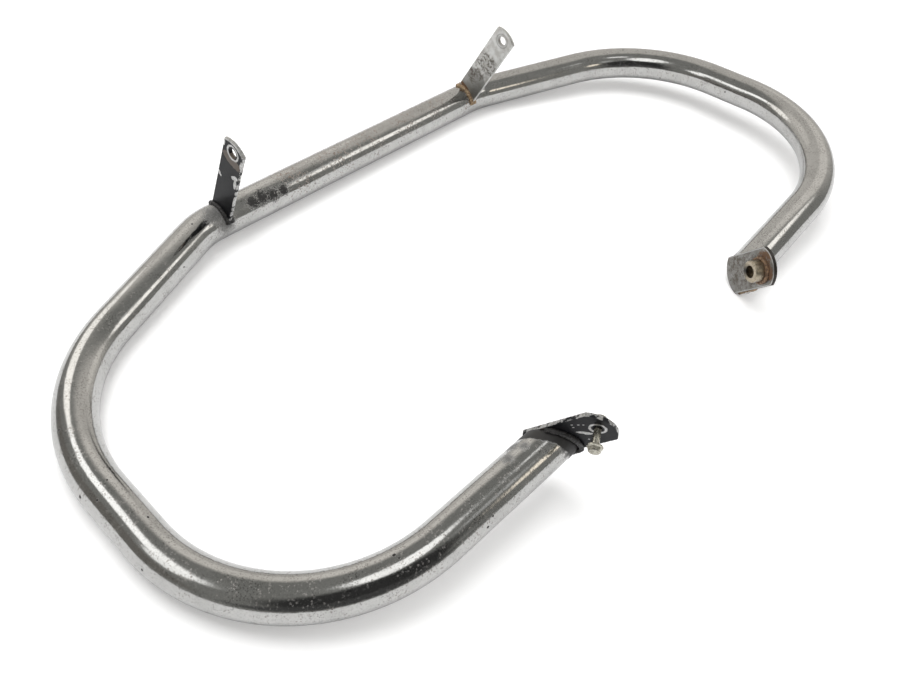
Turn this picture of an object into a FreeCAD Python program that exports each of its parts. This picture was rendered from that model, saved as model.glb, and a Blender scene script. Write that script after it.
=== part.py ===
import FreeCAD, Part
import math
import os

import Sketcher
from FreeCAD import Placement, Rotation, Vector

# Motorcycle engine guard: one bent tube with two loops, two upper tabs on the crossbar
# and a drilled lug on each end, the right one with a threaded collar, the left one with a
# bolt and nut.
# It is built about the crossbar, whose axis is X with its middle at the origin. The loops
# and the tube's ends lie towards +Y, and +X is the rider's left. At the end the whole guard
# is laid down on the three places that it rests on, with Z up.
# All lengths are millimetres and all angles are degrees.

SIZES = (
    ("tube_diameter", 31.75, "outside of the tube, inch and a quarter"),
    ("tube_wall", 2.8, "wall of the tube"),
    ("bar_half", 173.2, "middle of the crossbar to the corner of its bend"),
    ("bar_bend_radius", 70.0, "centreline radius of the two bends beside the crossbar"),
    ("shoulder_bend_radius", 138.3, "centreline radius of the loops' bends near the crossbar"),
    ("elbow_bend_radius", 131.2, "centreline radius of the loops' bends near the tube's ends"),
    ("left_shoulder_out", 370.6, "left shoulder corner, out from the middle"),
    ("left_shoulder_down", 76.6, "left shoulder corner, away from the crossbar"),
    ("left_shoulder_rise", -23.7, "left shoulder corner, off the crossbar's level"),
    ("left_elbow_out", 378.7, "left elbow corner, out from the middle"),
    ("left_elbow_down", 342.0, "left elbow corner, away from the crossbar"),
    ("left_elbow_rise", -73.6, "left elbow corner, off the crossbar's level"),
    ("left_foot_out", 147.5, "left tube end, out from the middle"),
    ("left_foot_down", 355.3, "left tube end, away from the crossbar"),
    ("left_foot_rise", -46.8, "left tube end, off the crossbar's level"),
    ("right_shoulder_out", 371.4, "right shoulder corner, out from the middle"),
    ("right_shoulder_down", 80.5, "right shoulder corner, away from the crossbar"),
    ("right_shoulder_rise", 3.0, "right shoulder corner, off the crossbar's level"),
    ("right_elbow_out", 377.1, "right elbow corner, out from the middle"),
    ("right_elbow_down", 338.3, "right elbow corner, away from the crossbar"),
    ("right_elbow_rise", -36.1, "right elbow corner, off the crossbar's level"),
    ("right_foot_out", 136.5, "right tube end, out from the middle"),
    ("right_foot_down", 343.3, "right tube end, away from the crossbar"),
    ("right_foot_rise", -66.2, "right tube end, off the crossbar's level"),
    ("tab_setback", 19.0, "middle of an upper tab, in from the corner of the crossbar's bend"),
    ("tab_thickness", 3.1, "plate of the upper tabs"),
    ("tab_width", 23.9, "width of the upper tabs"),
    ("tab_tip_bluntness", 9.95, "radius of an upper tab's round tip, over half its width"),
    ("tab_hole_diameter", 9.0, "bolt hole of the upper tabs"),
    ("tab_edge_break", 0.5, "bevel along the edges of the upper tabs"),
    ("left_tab_length", 99.6, "tip of the left tab from the tube's axis"),
    ("left_tab_hole_height", 89.9, "bolt hole of the left tab from the tube's axis"),
    ("left_tab_tilt", 58.7, "left tab's angle above the plane of the loops"),
    ("right_tab_length", 105.9, "tip of the right tab from the tube's axis"),
    ("right_tab_hole_height", 95.5, "bolt hole of the right tab from the tube's axis"),
    ("right_tab_tilt", 51.9, "right tab's angle above the plane of the loops"),
    ("tab_weld_leg", 3.5, "leg of the weld beads on the tabs"),
    ("lug_thickness", 3.2, "plate of the end lugs"),
    ("lug_width", 32.6, "width of the end lugs"),
    ("lug_tip_bluntness", 3.4, "radius of a lug's round tip, over half its width"),
    ("lug_heel_bluntness", 6.6, "radius of a lug's round heel, over half its width"),
    ("lug_heel_length", 18.3, "heel of a lug behind the middle of the tube end"),
    ("lug_hole_diameter", 6.4, "bolt hole of the lugs"),
    ("lug_edge_break", 0.5, "bevel along the outer edges of the lugs"),
    ("left_lug_reach", 40.9, "left lug's hole from the middle of the tube end"),
    ("left_lug_tip", 11.3, "tip of the left lug past its hole"),
    ("left_lug_shift", -0.6, "left lug's middle line off the middle of the tube end"),
    ("left_hole_shift", 0.0, "left lug's hole off the lug's middle line"),
    ("left_lug_yaw", 28.1, "turn of the left lug's outer face from straight out"),
    ("left_lug_pitch", 17.7, "dip of the left lug's outer face below level"),
    ("left_lug_slant", 40.2, "rise of the left lug from the tube end to its hole"),
    ("right_lug_reach", 30.9, "right lug's hole from the middle of the tube end"),
    ("right_lug_tip", 18.1, "tip of the right lug past its hole"),
    ("right_lug_shift", 0.6, "right lug's middle line off the middle of the tube end"),
    ("right_hole_shift", -2.0, "right lug's hole off the lug's middle line"),
    ("right_lug_yaw", 29.3, "turn of the right lug's outer face from straight out"),
    ("right_lug_pitch", 6.3, "dip of the right lug's outer face below level"),
    ("right_lug_slant", 40.0, "rise of the right lug from the tube end to its hole"),
    ("lug_weld_leg", 4.5, "leg of the weld between tube and lug"),
    ("weld_lip", 0.6, "blunt edge where a weld runs out"),
    ("collar_diameter", 18.5, "outside of the threaded collar"),
    ("collar_length", 10.4, "length of the threaded collar"),
    ("collar_mouth_diameter", 10.6, "wide mouth of the collar"),
    ("collar_mouth_depth", 5.0, "depth of the wide mouth"),
    ("collar_chamfer", 0.7, "chamfer on the collar's free end"),
    ("collar_weld_leg", 3.2, "leg of the weld round the collar"),
    ("thread_diameter", 6.0, "thread of the bolt, the nut and the collar"),
    ("thread_clearance", 0.05, "radial room between the bolt and the nut's thread"),
    ("bolt_shank_diameter", 5.0, "plain shank of the flange bolt"),
    ("bolt_shank_length", 14.5, "plain shank under the head"),
    ("bolt_length", 22.0, "flange bolt under its head"),
    ("bolt_standoff", 12.8, "gap between the bolt's flange and the lug"),
    ("bolt_flange_diameter", 10.8, "flange of the bolt"),
    ("bolt_flange_height", 0.9, "rim of the flange"),
    ("bolt_flange_slope", 0.8, "sloped top of the flange"),
    ("bolt_across_flats", 8.0, "hexagon of the bolt"),
    ("bolt_head_height", 4.2, "flange and hexagon together"),
    ("bolt_tip_chamfer", 0.8, "chamfer on the bolt's tip"),
    ("nut_across_flats", 10.0, "hexagon of the nut"),
    ("nut_height", 5.0, "height of the nut"),
)

SIDES = {"left": 1, "right": -1}
PARTS_DIR = "parts"
# Straight tube left past the end points before the ends are cut to the lugs.
END_OVERRUN = 40.0
# Room for the tools that cut or trim, well past anything they meet.
TOOL_SPAN = 120.0
# Fineness of the points that the resting place is worked out from, and rounds of the search.
REST_TOLERANCE = 0.05
REST_ROUNDS = 12
# Radii of the round ends of the flat plates.
TAB_TIP = "(Sizes.tab_width / 2 + Sizes.tab_tip_bluntness)"
LUG_TIP = "(Sizes.lug_width / 2 + Sizes.lug_tip_bluntness)"
LUG_HEEL = "(Sizes.lug_width / 2 + Sizes.lug_heel_bluntness)"
# Round top of a hexagon, in its width across the flats.
HEAD_CROWN = 0.92
NUT_CROWN = 0.95
# Shortest edge height that still counts as flat.
FLAT = 1e-6


def make_sheet(doc):
    """Write the driving dimensions into a spreadsheet, one alias for each."""
    sheet = doc.addObject("Spreadsheet::Sheet", "Sizes")
    for row, (alias, value, note) in enumerate(SIZES, start=1):
        sheet.set(f"A{row}", alias)
        sheet.set(f"B{row}", str(value))
        sheet.set(f"C{row}", note)
        sheet.setAlias(f"B{row}", alias)
    doc.recompute()
    return sheet


class Layout:
    """Points and frames of the guard, worked out from the spreadsheet."""

    def __init__(self, sheet):
        self.sheet = sheet

    def size(self, alias):
        return float(getattr(self.sheet, alias))

    def corner(self, name, side):
        """Corner of the tube's path on one side: shoulder, elbow or foot."""
        return Vector(
            SIDES[side] * self.size(f"{side}_{name}_out"),
            self.size(f"{side}_{name}_down"),
            self.size(f"{side}_{name}_rise"),
        )

    def leg_direction(self, side):
        """Direction of the straight leg at a tube end, from the elbow to the foot."""
        return (self.corner("foot", side) - self.corner("elbow", side)).normalize()

    def lug_frame(self, side):
        """Frame of a lug: origin in the tube's mouth, X to the hole, Z away from the tube."""
        sign = SIDES[side]
        yaw = math.radians(self.size(f"{side}_lug_yaw"))
        pitch = math.radians(self.size(f"{side}_lug_pitch"))
        slant = math.radians(self.size(f"{side}_lug_slant"))
        outward = Vector(
            sign * math.cos(pitch) * math.cos(yaw),
            math.cos(pitch) * math.sin(yaw),
            -math.sin(pitch),
        )
        level = Vector(-sign * math.sin(yaw), math.cos(yaw), 0)
        upward = Vector(
            sign * math.cos(yaw) * math.sin(pitch),
            math.sin(yaw) * math.sin(pitch),
            math.cos(pitch),
        )
        to_hole = level * math.cos(slant) + upward * math.sin(slant)
        return frame(self.corner("foot", side), to_hole, -outward)

    def hole_frame(self, side):
        """Frame of a lug's hole, on the lug's tube side."""
        reach = self.size(f"{side}_lug_reach")
        across = self.size(f"{side}_lug_shift") + self.size(f"{side}_hole_shift")
        return self.lug_frame(side) * Placement(Vector(reach, across, 0), Rotation())

    def tab_station(self):
        """Middle of an upper tab's plate, out from the middle of the crossbar."""
        return self.size("bar_half") - self.size("tab_setback")

    def tab_direction(self, side):
        tilt = math.radians(self.size(f"{side}_tab_tilt"))
        return Vector(0, math.cos(tilt), math.sin(tilt))

    def tab_frame(self, side):
        """Frame of an upper tab: origin on the tube's axis, Y up the tab, Z along the tube."""
        sign = SIDES[side]
        along = Vector(sign, 0, 0)
        up_tab = self.tab_direction(side)
        return frame(Vector(sign * self.tab_station(), 0, 0), up_tab.cross(along), along)


def frame(origin, x_direction, z_direction):
    """Placement with its X and Z axes along two directions at right angles."""
    y_direction = z_direction.cross(x_direction)
    return Placement(origin, Rotation(x_direction, y_direction, z_direction, "ZXY"))


def new_body(doc, label, placement):
    """Empty PartDesign body with its label and place."""
    body = doc.addObject("PartDesign::Body", label)
    body.Label = label
    body.Placement = placement
    return body


def new_sketch(body, name, role):
    """Sketch on one of the body's own origin planes."""
    sketch = body.newObject("Sketcher::SketchObject", name)
    plane = next(item for item in body.Origin.OriginFeatures if item.Role == role)
    sketch.AttachmentSupport = [(plane, "")]
    sketch.MapMode = "FlatFace"
    return sketch


def bind(sketch, constraint, formula):
    """Add a sketch dimension and drive it from the spreadsheet."""
    index = sketch.addConstraint(constraint)
    sketch.setExpression(f"Constraints[{index}]", formula)


def join(sketch, first, first_end, second, second_end):
    sketch.addConstraint(Sketcher.Constraint("Coincident", first, first_end, second, second_end))


def line(sketch, start, end):
    return sketch.addGeometry(Part.LineSegment(Vector(*start, 0), Vector(*end, 0)), False)


def arc(sketch, centre, radius, start, end):
    circle = Part.Circle(Vector(*centre, 0), Vector(0, 0, 1), radius)
    return sketch.addGeometry(Part.ArcOfCircle(circle, start, end), False)


def hole_circle(sketch, centre, radius):
    circle = Part.Circle(Vector(*centre, 0), Vector(0, 0, 1), radius)
    return sketch.addGeometry(circle, False)


# Sketcher numbers: the origin is point 1 of element -1, which is the X axis, and -2 is the Y axis.
ORIGIN = (-1, 1)
START, END, CENTRE = 1, 2, 3


def bent_wire(corners, radii):
    """Straight runs joined by tangent arcs, one radius for each inner corner."""
    edges = []
    here = corners[0]
    for before, corner, after, radius in zip(corners, corners[1:], corners[2:], radii):
        back = (before - corner).normalize()
        ahead = (after - corner).normalize()
        half_angle = back.getAngle(ahead) / 2
        tangent = radius / math.tan(half_angle)
        enter = corner + back * tangent
        leave = corner + ahead * tangent
        to_centre = (back + ahead).normalize()
        middle = corner + to_centre * (radius / math.sin(half_angle) - radius)
        edges.append(Part.LineSegment(here, enter).toShape())
        edges.append(Part.Arc(enter, middle, leave).toShape())
        here = leave
    edges.append(Part.LineSegment(here, corners[-1]).toShape())
    return Part.Wire(edges)


def swept_rod(wire, start, direction, radius):
    """Solid round bar along the wire."""
    circle = Part.Wire(Part.makeCircle(radius, start, direction))
    return wire.makePipe(Part.Face(circle))


def lug_side_block(place):
    """Block that fills the space past a lug's tube face."""
    base = Vector(-TOOL_SPAN / 2, -TOOL_SPAN / 2, 0)
    block = Part.makeBox(TOOL_SPAN, TOOL_SPAN, TOOL_SPAN, base)
    block.Placement = place
    return block


def make_tube(doc, layout):
    """Bent tube: a spatial path, so the sweep is made from the sheet's sizes directly."""
    right, left = "right", "left"
    bar_half = layout.size("bar_half")
    feet = {}
    for side in SIDES:
        feet[side] = layout.corner("foot", side) + layout.leg_direction(side) * END_OVERRUN
    corners = [
        feet[right],
        layout.corner("elbow", right),
        layout.corner("shoulder", right),
        Vector(-bar_half, 0, 0),
        Vector(bar_half, 0, 0),
        layout.corner("shoulder", left),
        layout.corner("elbow", left),
        feet[left],
    ]
    radii = [
        layout.size("elbow_bend_radius"),
        layout.size("shoulder_bend_radius"),
        layout.size("bar_bend_radius"),
    ]
    wire = bent_wire(corners, radii + radii[::-1])
    outer = layout.size("tube_diameter") / 2
    start_direction = corners[1] - corners[0]
    tube = swept_rod(wire, corners[0], start_direction, outer)
    tube = tube.cut(swept_rod(wire, corners[0], start_direction, outer - layout.size("tube_wall")))
    for side in SIDES:
        tube = tube.cut(lug_side_block(layout.lug_frame(side)))
    feature = doc.addObject("Part::Feature", "guard_tube")
    feature.Label = "guard_tube"
    feature.Shape = tube.removeSplitter()
    return feature


def make_upper_tab(doc, layout, side):
    """Flat tab that stands on the crossbar, with its foot cut to the tube's round."""
    label = f"upper_tab_{side}"
    body = new_body(doc, label, layout.tab_frame(side))
    sketch = new_sketch(body, f"{label}_outline", "XY_Plane")
    half = layout.size("tab_width") / 2
    tube_radius = layout.size("tube_diameter") / 2
    tip_radius = half + layout.size("tab_tip_bluntness")
    tip_centre = layout.size(f"{side}_tab_length") - tip_radius
    hole_height = layout.size(f"{side}_tab_hole_height")
    seat_angle = math.acos(half / tube_radius)
    tip_angle = math.acos(half / tip_radius)
    seat_height = tube_radius * math.sin(seat_angle)
    shoulder = tip_centre + tip_radius * math.sin(tip_angle)

    seat = arc(sketch, (0, 0), tube_radius, seat_angle, math.pi - seat_angle)
    near = line(sketch, (half, seat_height), (half, shoulder))
    tip = arc(sketch, (0, tip_centre), tip_radius, tip_angle, math.pi - tip_angle)
    far = line(sketch, (-half, shoulder), (-half, seat_height))
    hole_radius = layout.size("tab_hole_diameter") / 2
    hole = hole_circle(sketch, (0, hole_height), hole_radius)

    join(sketch, seat, START, near, START)
    join(sketch, near, END, tip, START)
    join(sketch, tip, END, far, START)
    join(sketch, far, END, seat, END)
    join(sketch, seat, CENTRE, *ORIGIN)
    sketch.addConstraint(Sketcher.Constraint("Vertical", near))
    sketch.addConstraint(Sketcher.Constraint("Vertical", far))
    sketch.addConstraint(Sketcher.Constraint("PointOnObject", tip, CENTRE, -2))
    sketch.addConstraint(Sketcher.Constraint("PointOnObject", hole, CENTRE, -2))
    bind(sketch, Sketcher.Constraint("Radius", seat, tube_radius), "Sizes.tube_diameter / 2")
    bind(sketch, Sketcher.Constraint("Radius", tip, tip_radius), TAB_TIP)
    bind(
        sketch,
        Sketcher.Constraint("DistanceY", *ORIGIN, tip, CENTRE, tip_centre),
        f"Sizes.{side}_tab_length - {TAB_TIP}",
    )
    bind(
        sketch,
        Sketcher.Constraint("DistanceX", *ORIGIN, near, START, half),
        "Sizes.tab_width / 2",
    )
    bind(
        sketch,
        Sketcher.Constraint("DistanceX", far, END, *ORIGIN, half),
        "Sizes.tab_width / 2",
    )
    bind(
        sketch,
        Sketcher.Constraint("DistanceY", *ORIGIN, hole, CENTRE, hole_height),
        f"Sizes.{side}_tab_hole_height",
    )
    bind(
        sketch,
        Sketcher.Constraint("Diameter", hole, 2 * hole_radius),
        "Sizes.tab_hole_diameter",
    )

    pad = body.newObject("PartDesign::Pad", f"{label}_plate")
    pad.Profile = sketch
    pad.Midplane = True
    pad.setExpression("Length", "Sizes.tab_thickness")
    doc.recompute()
    soften_outline(doc, body, pad, "Sizes.tab_edge_break", above_seat(seat_height))
    return body


def above_seat(seat_height):
    """Test for edges of a tab that stand clear of the tube."""
    return lambda edge: edge.CenterOfMass.y > seat_height


def soften_outline(doc, body, pad, formula, keeps):
    """Break the long edges of a plate's outline, leaving its holes and seat sharp."""
    names = []
    for index, edge in enumerate(pad.Shape.Edges, start=1):
        box = edge.BoundBox
        in_face = box.ZLength < FLAT
        full_circle = edge.isClosed()
        if in_face and not full_circle and keeps(edge):
            names.append(f"Edge{index}")
    bevel = body.newObject("PartDesign::Chamfer", f"{body.Label}_edges")
    bevel.Base = (pad, names)
    bevel.setExpression("Size", formula)
    body.Tip = bevel
    doc.recompute()


def fillet_profile(sketch, layout, inner_radius, inner_formula, leg_alias):
    """Weld section in a corner: two flat legs, blunt edges and a slanting face."""
    leg = layout.size(leg_alias)
    lip = layout.size("weld_lip")
    r = inner_radius
    foot = line(sketch, (r, 0), (r + leg, 0))
    toe = line(sketch, (r + leg, 0), (r + leg, lip))
    face = line(sketch, (r + leg, lip), (r + lip, leg))
    crest = line(sketch, (r + lip, leg), (r, leg))
    wall = line(sketch, (r, leg), (r, 0))

    join(sketch, foot, END, toe, START)
    join(sketch, toe, END, face, START)
    join(sketch, face, END, crest, START)
    join(sketch, crest, END, wall, START)
    join(sketch, wall, END, foot, START)
    for flat in (foot, crest):
        sketch.addConstraint(Sketcher.Constraint("Horizontal", flat))
    for upright in (toe, wall):
        sketch.addConstraint(Sketcher.Constraint("Vertical", upright))
    sketch.addConstraint(Sketcher.Constraint("PointOnObject", foot, START, -1))
    bind(sketch, Sketcher.Constraint("DistanceX", *ORIGIN, foot, START, r), inner_formula)
    bind(sketch, Sketcher.Constraint("DistanceX", foot, START, foot, END, leg), f"Sizes.{leg_alias}")
    bind(sketch, Sketcher.Constraint("DistanceY", wall, END, wall, START, leg), f"Sizes.{leg_alias}")
    bind(sketch, Sketcher.Constraint("DistanceY", toe, START, toe, END, lip), "Sizes.weld_lip")
    bind(sketch, Sketcher.Constraint("DistanceX", crest, END, crest, START, lip), "Sizes.weld_lip")


def make_revolved_bead(doc, layout, label, place, inner, leg_alias, angle_formula):
    """Weld bead turned about Z: inner is its inside radius and the formula for it."""
    body = new_body(doc, label, place)
    sketch = new_sketch(body, f"{label}_section", "XZ_Plane")
    fillet_profile(sketch, layout, inner[0], inner[1], leg_alias)
    bead = body.newObject("PartDesign::Revolution", f"{label}_bead")
    bead.Profile = sketch
    bead.ReferenceAxis = (sketch, ["V_Axis"])
    bead.Midplane = True
    bead.setExpression("Angle", angle_formula)
    return body


def make_tab_welds(doc, layout, side):
    """Bead on each flat face of a tab, run round the tube as wide as the tab."""
    half_sheet = "Sizes.tab_width / Sizes.tube_diameter"
    angle = f"2 * asin({half_sheet})"
    radius = layout.size("tube_diameter") / 2
    sign = SIDES[side]
    station = sign * layout.tab_station()
    half_plate = layout.size("tab_thickness") / 2
    beads = []
    for where, facing in (("outer", sign), ("inner", -sign)):
        origin = Vector(station + facing * half_plate, 0, 0)
        place = frame(origin, layout.tab_direction(side), Vector(facing, 0, 0))
        inner = (radius, "Sizes.tube_diameter / 2")
        label = f"tab_weld_{side}_{where}"
        beads.append(make_revolved_bead(doc, layout, label, place, inner, "tab_weld_leg", angle))
    return beads


def make_lug(doc, layout, side):
    """Flat lug that closes the tube's end and carries the lower bolt hole."""
    label = f"lug_{side}"
    shift = Placement(Vector(0, layout.size(f"{side}_lug_shift"), 0), Rotation())
    body = new_body(doc, label, layout.lug_frame(side) * shift)
    sketch = new_sketch(body, f"{label}_outline", "XY_Plane")
    half = layout.size("lug_width") / 2
    reach = layout.size(f"{side}_lug_reach")
    across = layout.size(f"{side}_hole_shift")
    tip_radius = half + layout.size("lug_tip_bluntness")
    tip_centre = reach + layout.size(f"{side}_lug_tip") - tip_radius
    tip_angle = math.asin(half / tip_radius)
    tip_corner = tip_centre + tip_radius * math.cos(tip_angle)
    heel_radius = half + layout.size("lug_heel_bluntness")
    heel_centre = heel_radius - layout.size("lug_heel_length")
    heel_angle = math.asin(half / heel_radius)
    heel_corner = heel_centre - heel_radius * math.cos(heel_angle)
    hole_radius = layout.size("lug_hole_diameter") / 2

    heel_span = (math.pi - heel_angle, math.pi + heel_angle)
    heel = arc(sketch, (heel_centre, 0), heel_radius, *heel_span)
    low = line(sketch, (heel_corner, -half), (tip_corner, -half))
    tip = arc(sketch, (tip_centre, 0), tip_radius, -tip_angle, tip_angle)
    high = line(sketch, (tip_corner, half), (heel_corner, half))
    hole = hole_circle(sketch, (reach, across), hole_radius)

    join(sketch, heel, END, low, START)
    join(sketch, low, END, tip, START)
    join(sketch, tip, END, high, START)
    join(sketch, high, END, heel, START)
    sketch.addConstraint(Sketcher.Constraint("Horizontal", low))
    sketch.addConstraint(Sketcher.Constraint("Horizontal", high))
    sketch.addConstraint(Sketcher.Constraint("PointOnObject", heel, CENTRE, -1))
    sketch.addConstraint(Sketcher.Constraint("PointOnObject", tip, CENTRE, -1))
    bind(sketch, Sketcher.Constraint("Radius", heel, heel_radius), LUG_HEEL)
    bind(sketch, Sketcher.Constraint("Radius", tip, tip_radius), LUG_TIP)
    bind(
        sketch,
        Sketcher.Constraint("DistanceX", *ORIGIN, heel, CENTRE, heel_centre),
        f"{LUG_HEEL} - Sizes.lug_heel_length",
    )
    bind(
        sketch,
        Sketcher.Constraint("DistanceX", *ORIGIN, tip, CENTRE, tip_centre),
        f"Sizes.{side}_lug_reach + Sizes.{side}_lug_tip - {LUG_TIP}",
    )
    bind(
        sketch,
        Sketcher.Constraint("DistanceY", *ORIGIN, high, START, half),
        "Sizes.lug_width / 2",
    )
    bind(
        sketch,
        Sketcher.Constraint("DistanceY", low, START, *ORIGIN, half),
        "Sizes.lug_width / 2",
    )
    bind(
        sketch,
        Sketcher.Constraint("DistanceX", *ORIGIN, hole, CENTRE, reach),
        f"Sizes.{side}_lug_reach",
    )
    bind(
        sketch,
        Sketcher.Constraint("DistanceY", *ORIGIN, hole, CENTRE, across),
        f"Sizes.{side}_hole_shift",
    )
    bind(
        sketch,
        Sketcher.Constraint("Diameter", hole, 2 * hole_radius),
        "Sizes.lug_hole_diameter",
    )

    pad = body.newObject("PartDesign::Pad", f"{label}_plate")
    pad.Profile = sketch
    pad.setExpression("Length", "Sizes.lug_thickness")
    doc.recompute()
    soften_outline(doc, body, pad, "Sizes.lug_edge_break", on_outer_face(layout))
    return body


def on_outer_face(layout):
    """Test for edges on the lug's face away from the tube."""
    face_height = layout.size("lug_thickness")
    return lambda edge: abs(edge.CenterOfMass.z - face_height) < FLAT


def mouth_ellipse(layout, side, height, growth):
    """Tube's outline cut at a height over the lug's tube face, grown all round."""
    place = layout.lug_frame(side)
    leg = place.Rotation.inverted().multVec(layout.leg_direction(side))
    radius = layout.size("tube_diameter") / 2
    centre = Vector(leg.x / leg.z * height, leg.y / leg.z * height, height)
    stretch = Vector(leg.x, leg.y, 0).normalize()
    across = Vector(-stretch.y, stretch.x, 0)
    major = radius / abs(leg.z) + growth
    minor = radius + growth
    ellipse = Part.Ellipse(centre + stretch * major, centre + across * minor, centre)
    return Part.Wire(ellipse.toShape())


def make_lug_weld(doc, layout, side):
    """Bead in the corner between the slanting tube and the lug, on the hole's side."""
    label = f"lug_weld_{side}"
    leg = layout.size("lug_weld_leg")
    lip = layout.size("weld_lip")
    half = layout.size("lug_width") / 2
    shift = layout.size(f"{side}_lug_shift")
    sections = [
        mouth_ellipse(layout, side, 0, leg),
        mouth_ellipse(layout, side, -lip, leg),
        mouth_ellipse(layout, side, -leg, lip),
    ]
    mound = Part.makeLoft(sections, True, True)
    corner = Vector(0, shift - half, -TOOL_SPAN / 2)
    span = Part.makeBox(TOOL_SPAN, 2 * half, TOOL_SPAN, corner)
    mound = mound.common(span)
    place = layout.lug_frame(side)
    mound.Placement = place
    foot, away = layout.corner("foot", side), layout.leg_direction(side)
    radius = layout.size("tube_diameter") / 2
    core = Part.makeCylinder(radius, 2 * END_OVERRUN, foot - away * END_OVERRUN, away)
    feature = doc.addObject("Part::Feature", label)
    feature.Label = label
    feature.Shape = mound.cut(core)
    return feature


def make_collar(doc, layout, side):
    """Threaded collar on the lug's outer face, in line with the hole."""
    label = f"collar_{side}"
    seat = Placement(Vector(0, 0, layout.size("lug_thickness")), Rotation())
    body = new_body(doc, label, layout.hole_frame(side) * seat)
    sketch = new_sketch(body, f"{label}_section", "XZ_Plane")
    outer = layout.size("collar_diameter") / 2
    length = layout.size("collar_length")
    mouth = layout.size("collar_mouth_diameter") / 2
    step = length - layout.size("collar_mouth_depth")
    bore = layout.size("thread_diameter") / 2
    chamfer = layout.size("collar_chamfer")
    points = [
        (bore, 0),
        (outer, 0),
        (outer, length - chamfer),
        (outer - chamfer, length),
        (mouth, length),
        (mouth, step),
        (bore, step),
    ]
    runs = [line(sketch, a, b) for a, b in zip(points, points[1:] + points[:1])]
    for first, second in zip(runs, runs[1:] + runs[:1]):
        join(sketch, first, END, second, START)
    base, wall, slope, rim, throat, ledge, thread = runs
    for flat in (base, rim, ledge):
        sketch.addConstraint(Sketcher.Constraint("Horizontal", flat))
    for upright in (wall, throat, thread):
        sketch.addConstraint(Sketcher.Constraint("Vertical", upright))
    sketch.addConstraint(Sketcher.Constraint("PointOnObject", base, START, -1))
    bind(
        sketch,
        Sketcher.Constraint("DistanceX", *ORIGIN, base, START, bore),
        "Sizes.thread_diameter / 2",
    )
    bind(
        sketch,
        Sketcher.Constraint("DistanceX", *ORIGIN, base, END, outer),
        "Sizes.collar_diameter / 2",
    )
    bind(
        sketch,
        Sketcher.Constraint("DistanceX", *ORIGIN, throat, START, mouth),
        "Sizes.collar_mouth_diameter / 2",
    )
    bind(
        sketch,
        Sketcher.Constraint("DistanceY", *ORIGIN, rim, START, length),
        "Sizes.collar_length",
    )
    bind(
        sketch,
        Sketcher.Constraint("DistanceY", throat, END, throat, START, length - step),
        "Sizes.collar_mouth_depth",
    )
    bind(
        sketch,
        Sketcher.Constraint("DistanceX", slope, END, slope, START, chamfer),
        "Sizes.collar_chamfer",
    )
    bind(
        sketch,
        Sketcher.Constraint("DistanceY", slope, START, slope, END, chamfer),
        "Sizes.collar_chamfer",
    )
    turn = body.newObject("PartDesign::Revolution", f"{label}_turning")
    turn.Profile = sketch
    turn.ReferenceAxis = (sketch, ["V_Axis"])
    turn.Angle = 360
    return body


def make_collar_weld(doc, layout, side):
    """Bead all round the foot of a collar."""
    seat = Placement(Vector(0, 0, layout.size("lug_thickness")), Rotation())
    place = layout.hole_frame(side) * seat
    inner = (layout.size("collar_diameter") / 2, "Sizes.collar_diameter / 2")
    label = f"collar_weld_{side}"
    return make_revolved_bead(doc, layout, label, place, inner, "collar_weld_leg", "360")


def cylinder(doc, name, diameter, height, base):
    """Upright round bar whose sizes are read from the spreadsheet."""
    bar = doc.addObject("Part::Cylinder", name)
    bar.setExpression("Radius", f"({diameter}) / 2")
    bar.setExpression("Height", height)
    bar.setExpression("Placement.Base.z", base)
    return bar


def cone(doc, name, lower, upper, height, base):
    """Upright cone between two diameters read from the spreadsheet."""
    taper = doc.addObject("Part::Cone", name)
    taper.setExpression("Radius1", f"({lower}) / 2")
    taper.setExpression("Radius2", f"({upper}) / 2")
    taper.setExpression("Height", height)
    taper.setExpression("Placement.Base.z", base)
    return taper


def hexagon(doc, name, across_flats, height, base):
    """Upright hexagonal bar."""
    prism = doc.addObject("Part::Prism", name)
    prism.Polygon = 6
    prism.setExpression("Circumradius", f"{across_flats} / 2 / cos(30)")
    prism.setExpression("Height", height)
    prism.setExpression("Placement.Base.z", base)
    return prism


def combine(doc, kind, name, base, tool):
    """Part boolean of two objects."""
    result = doc.addObject(kind, name)
    result.Base = base
    result.Tool = tool
    return result


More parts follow.
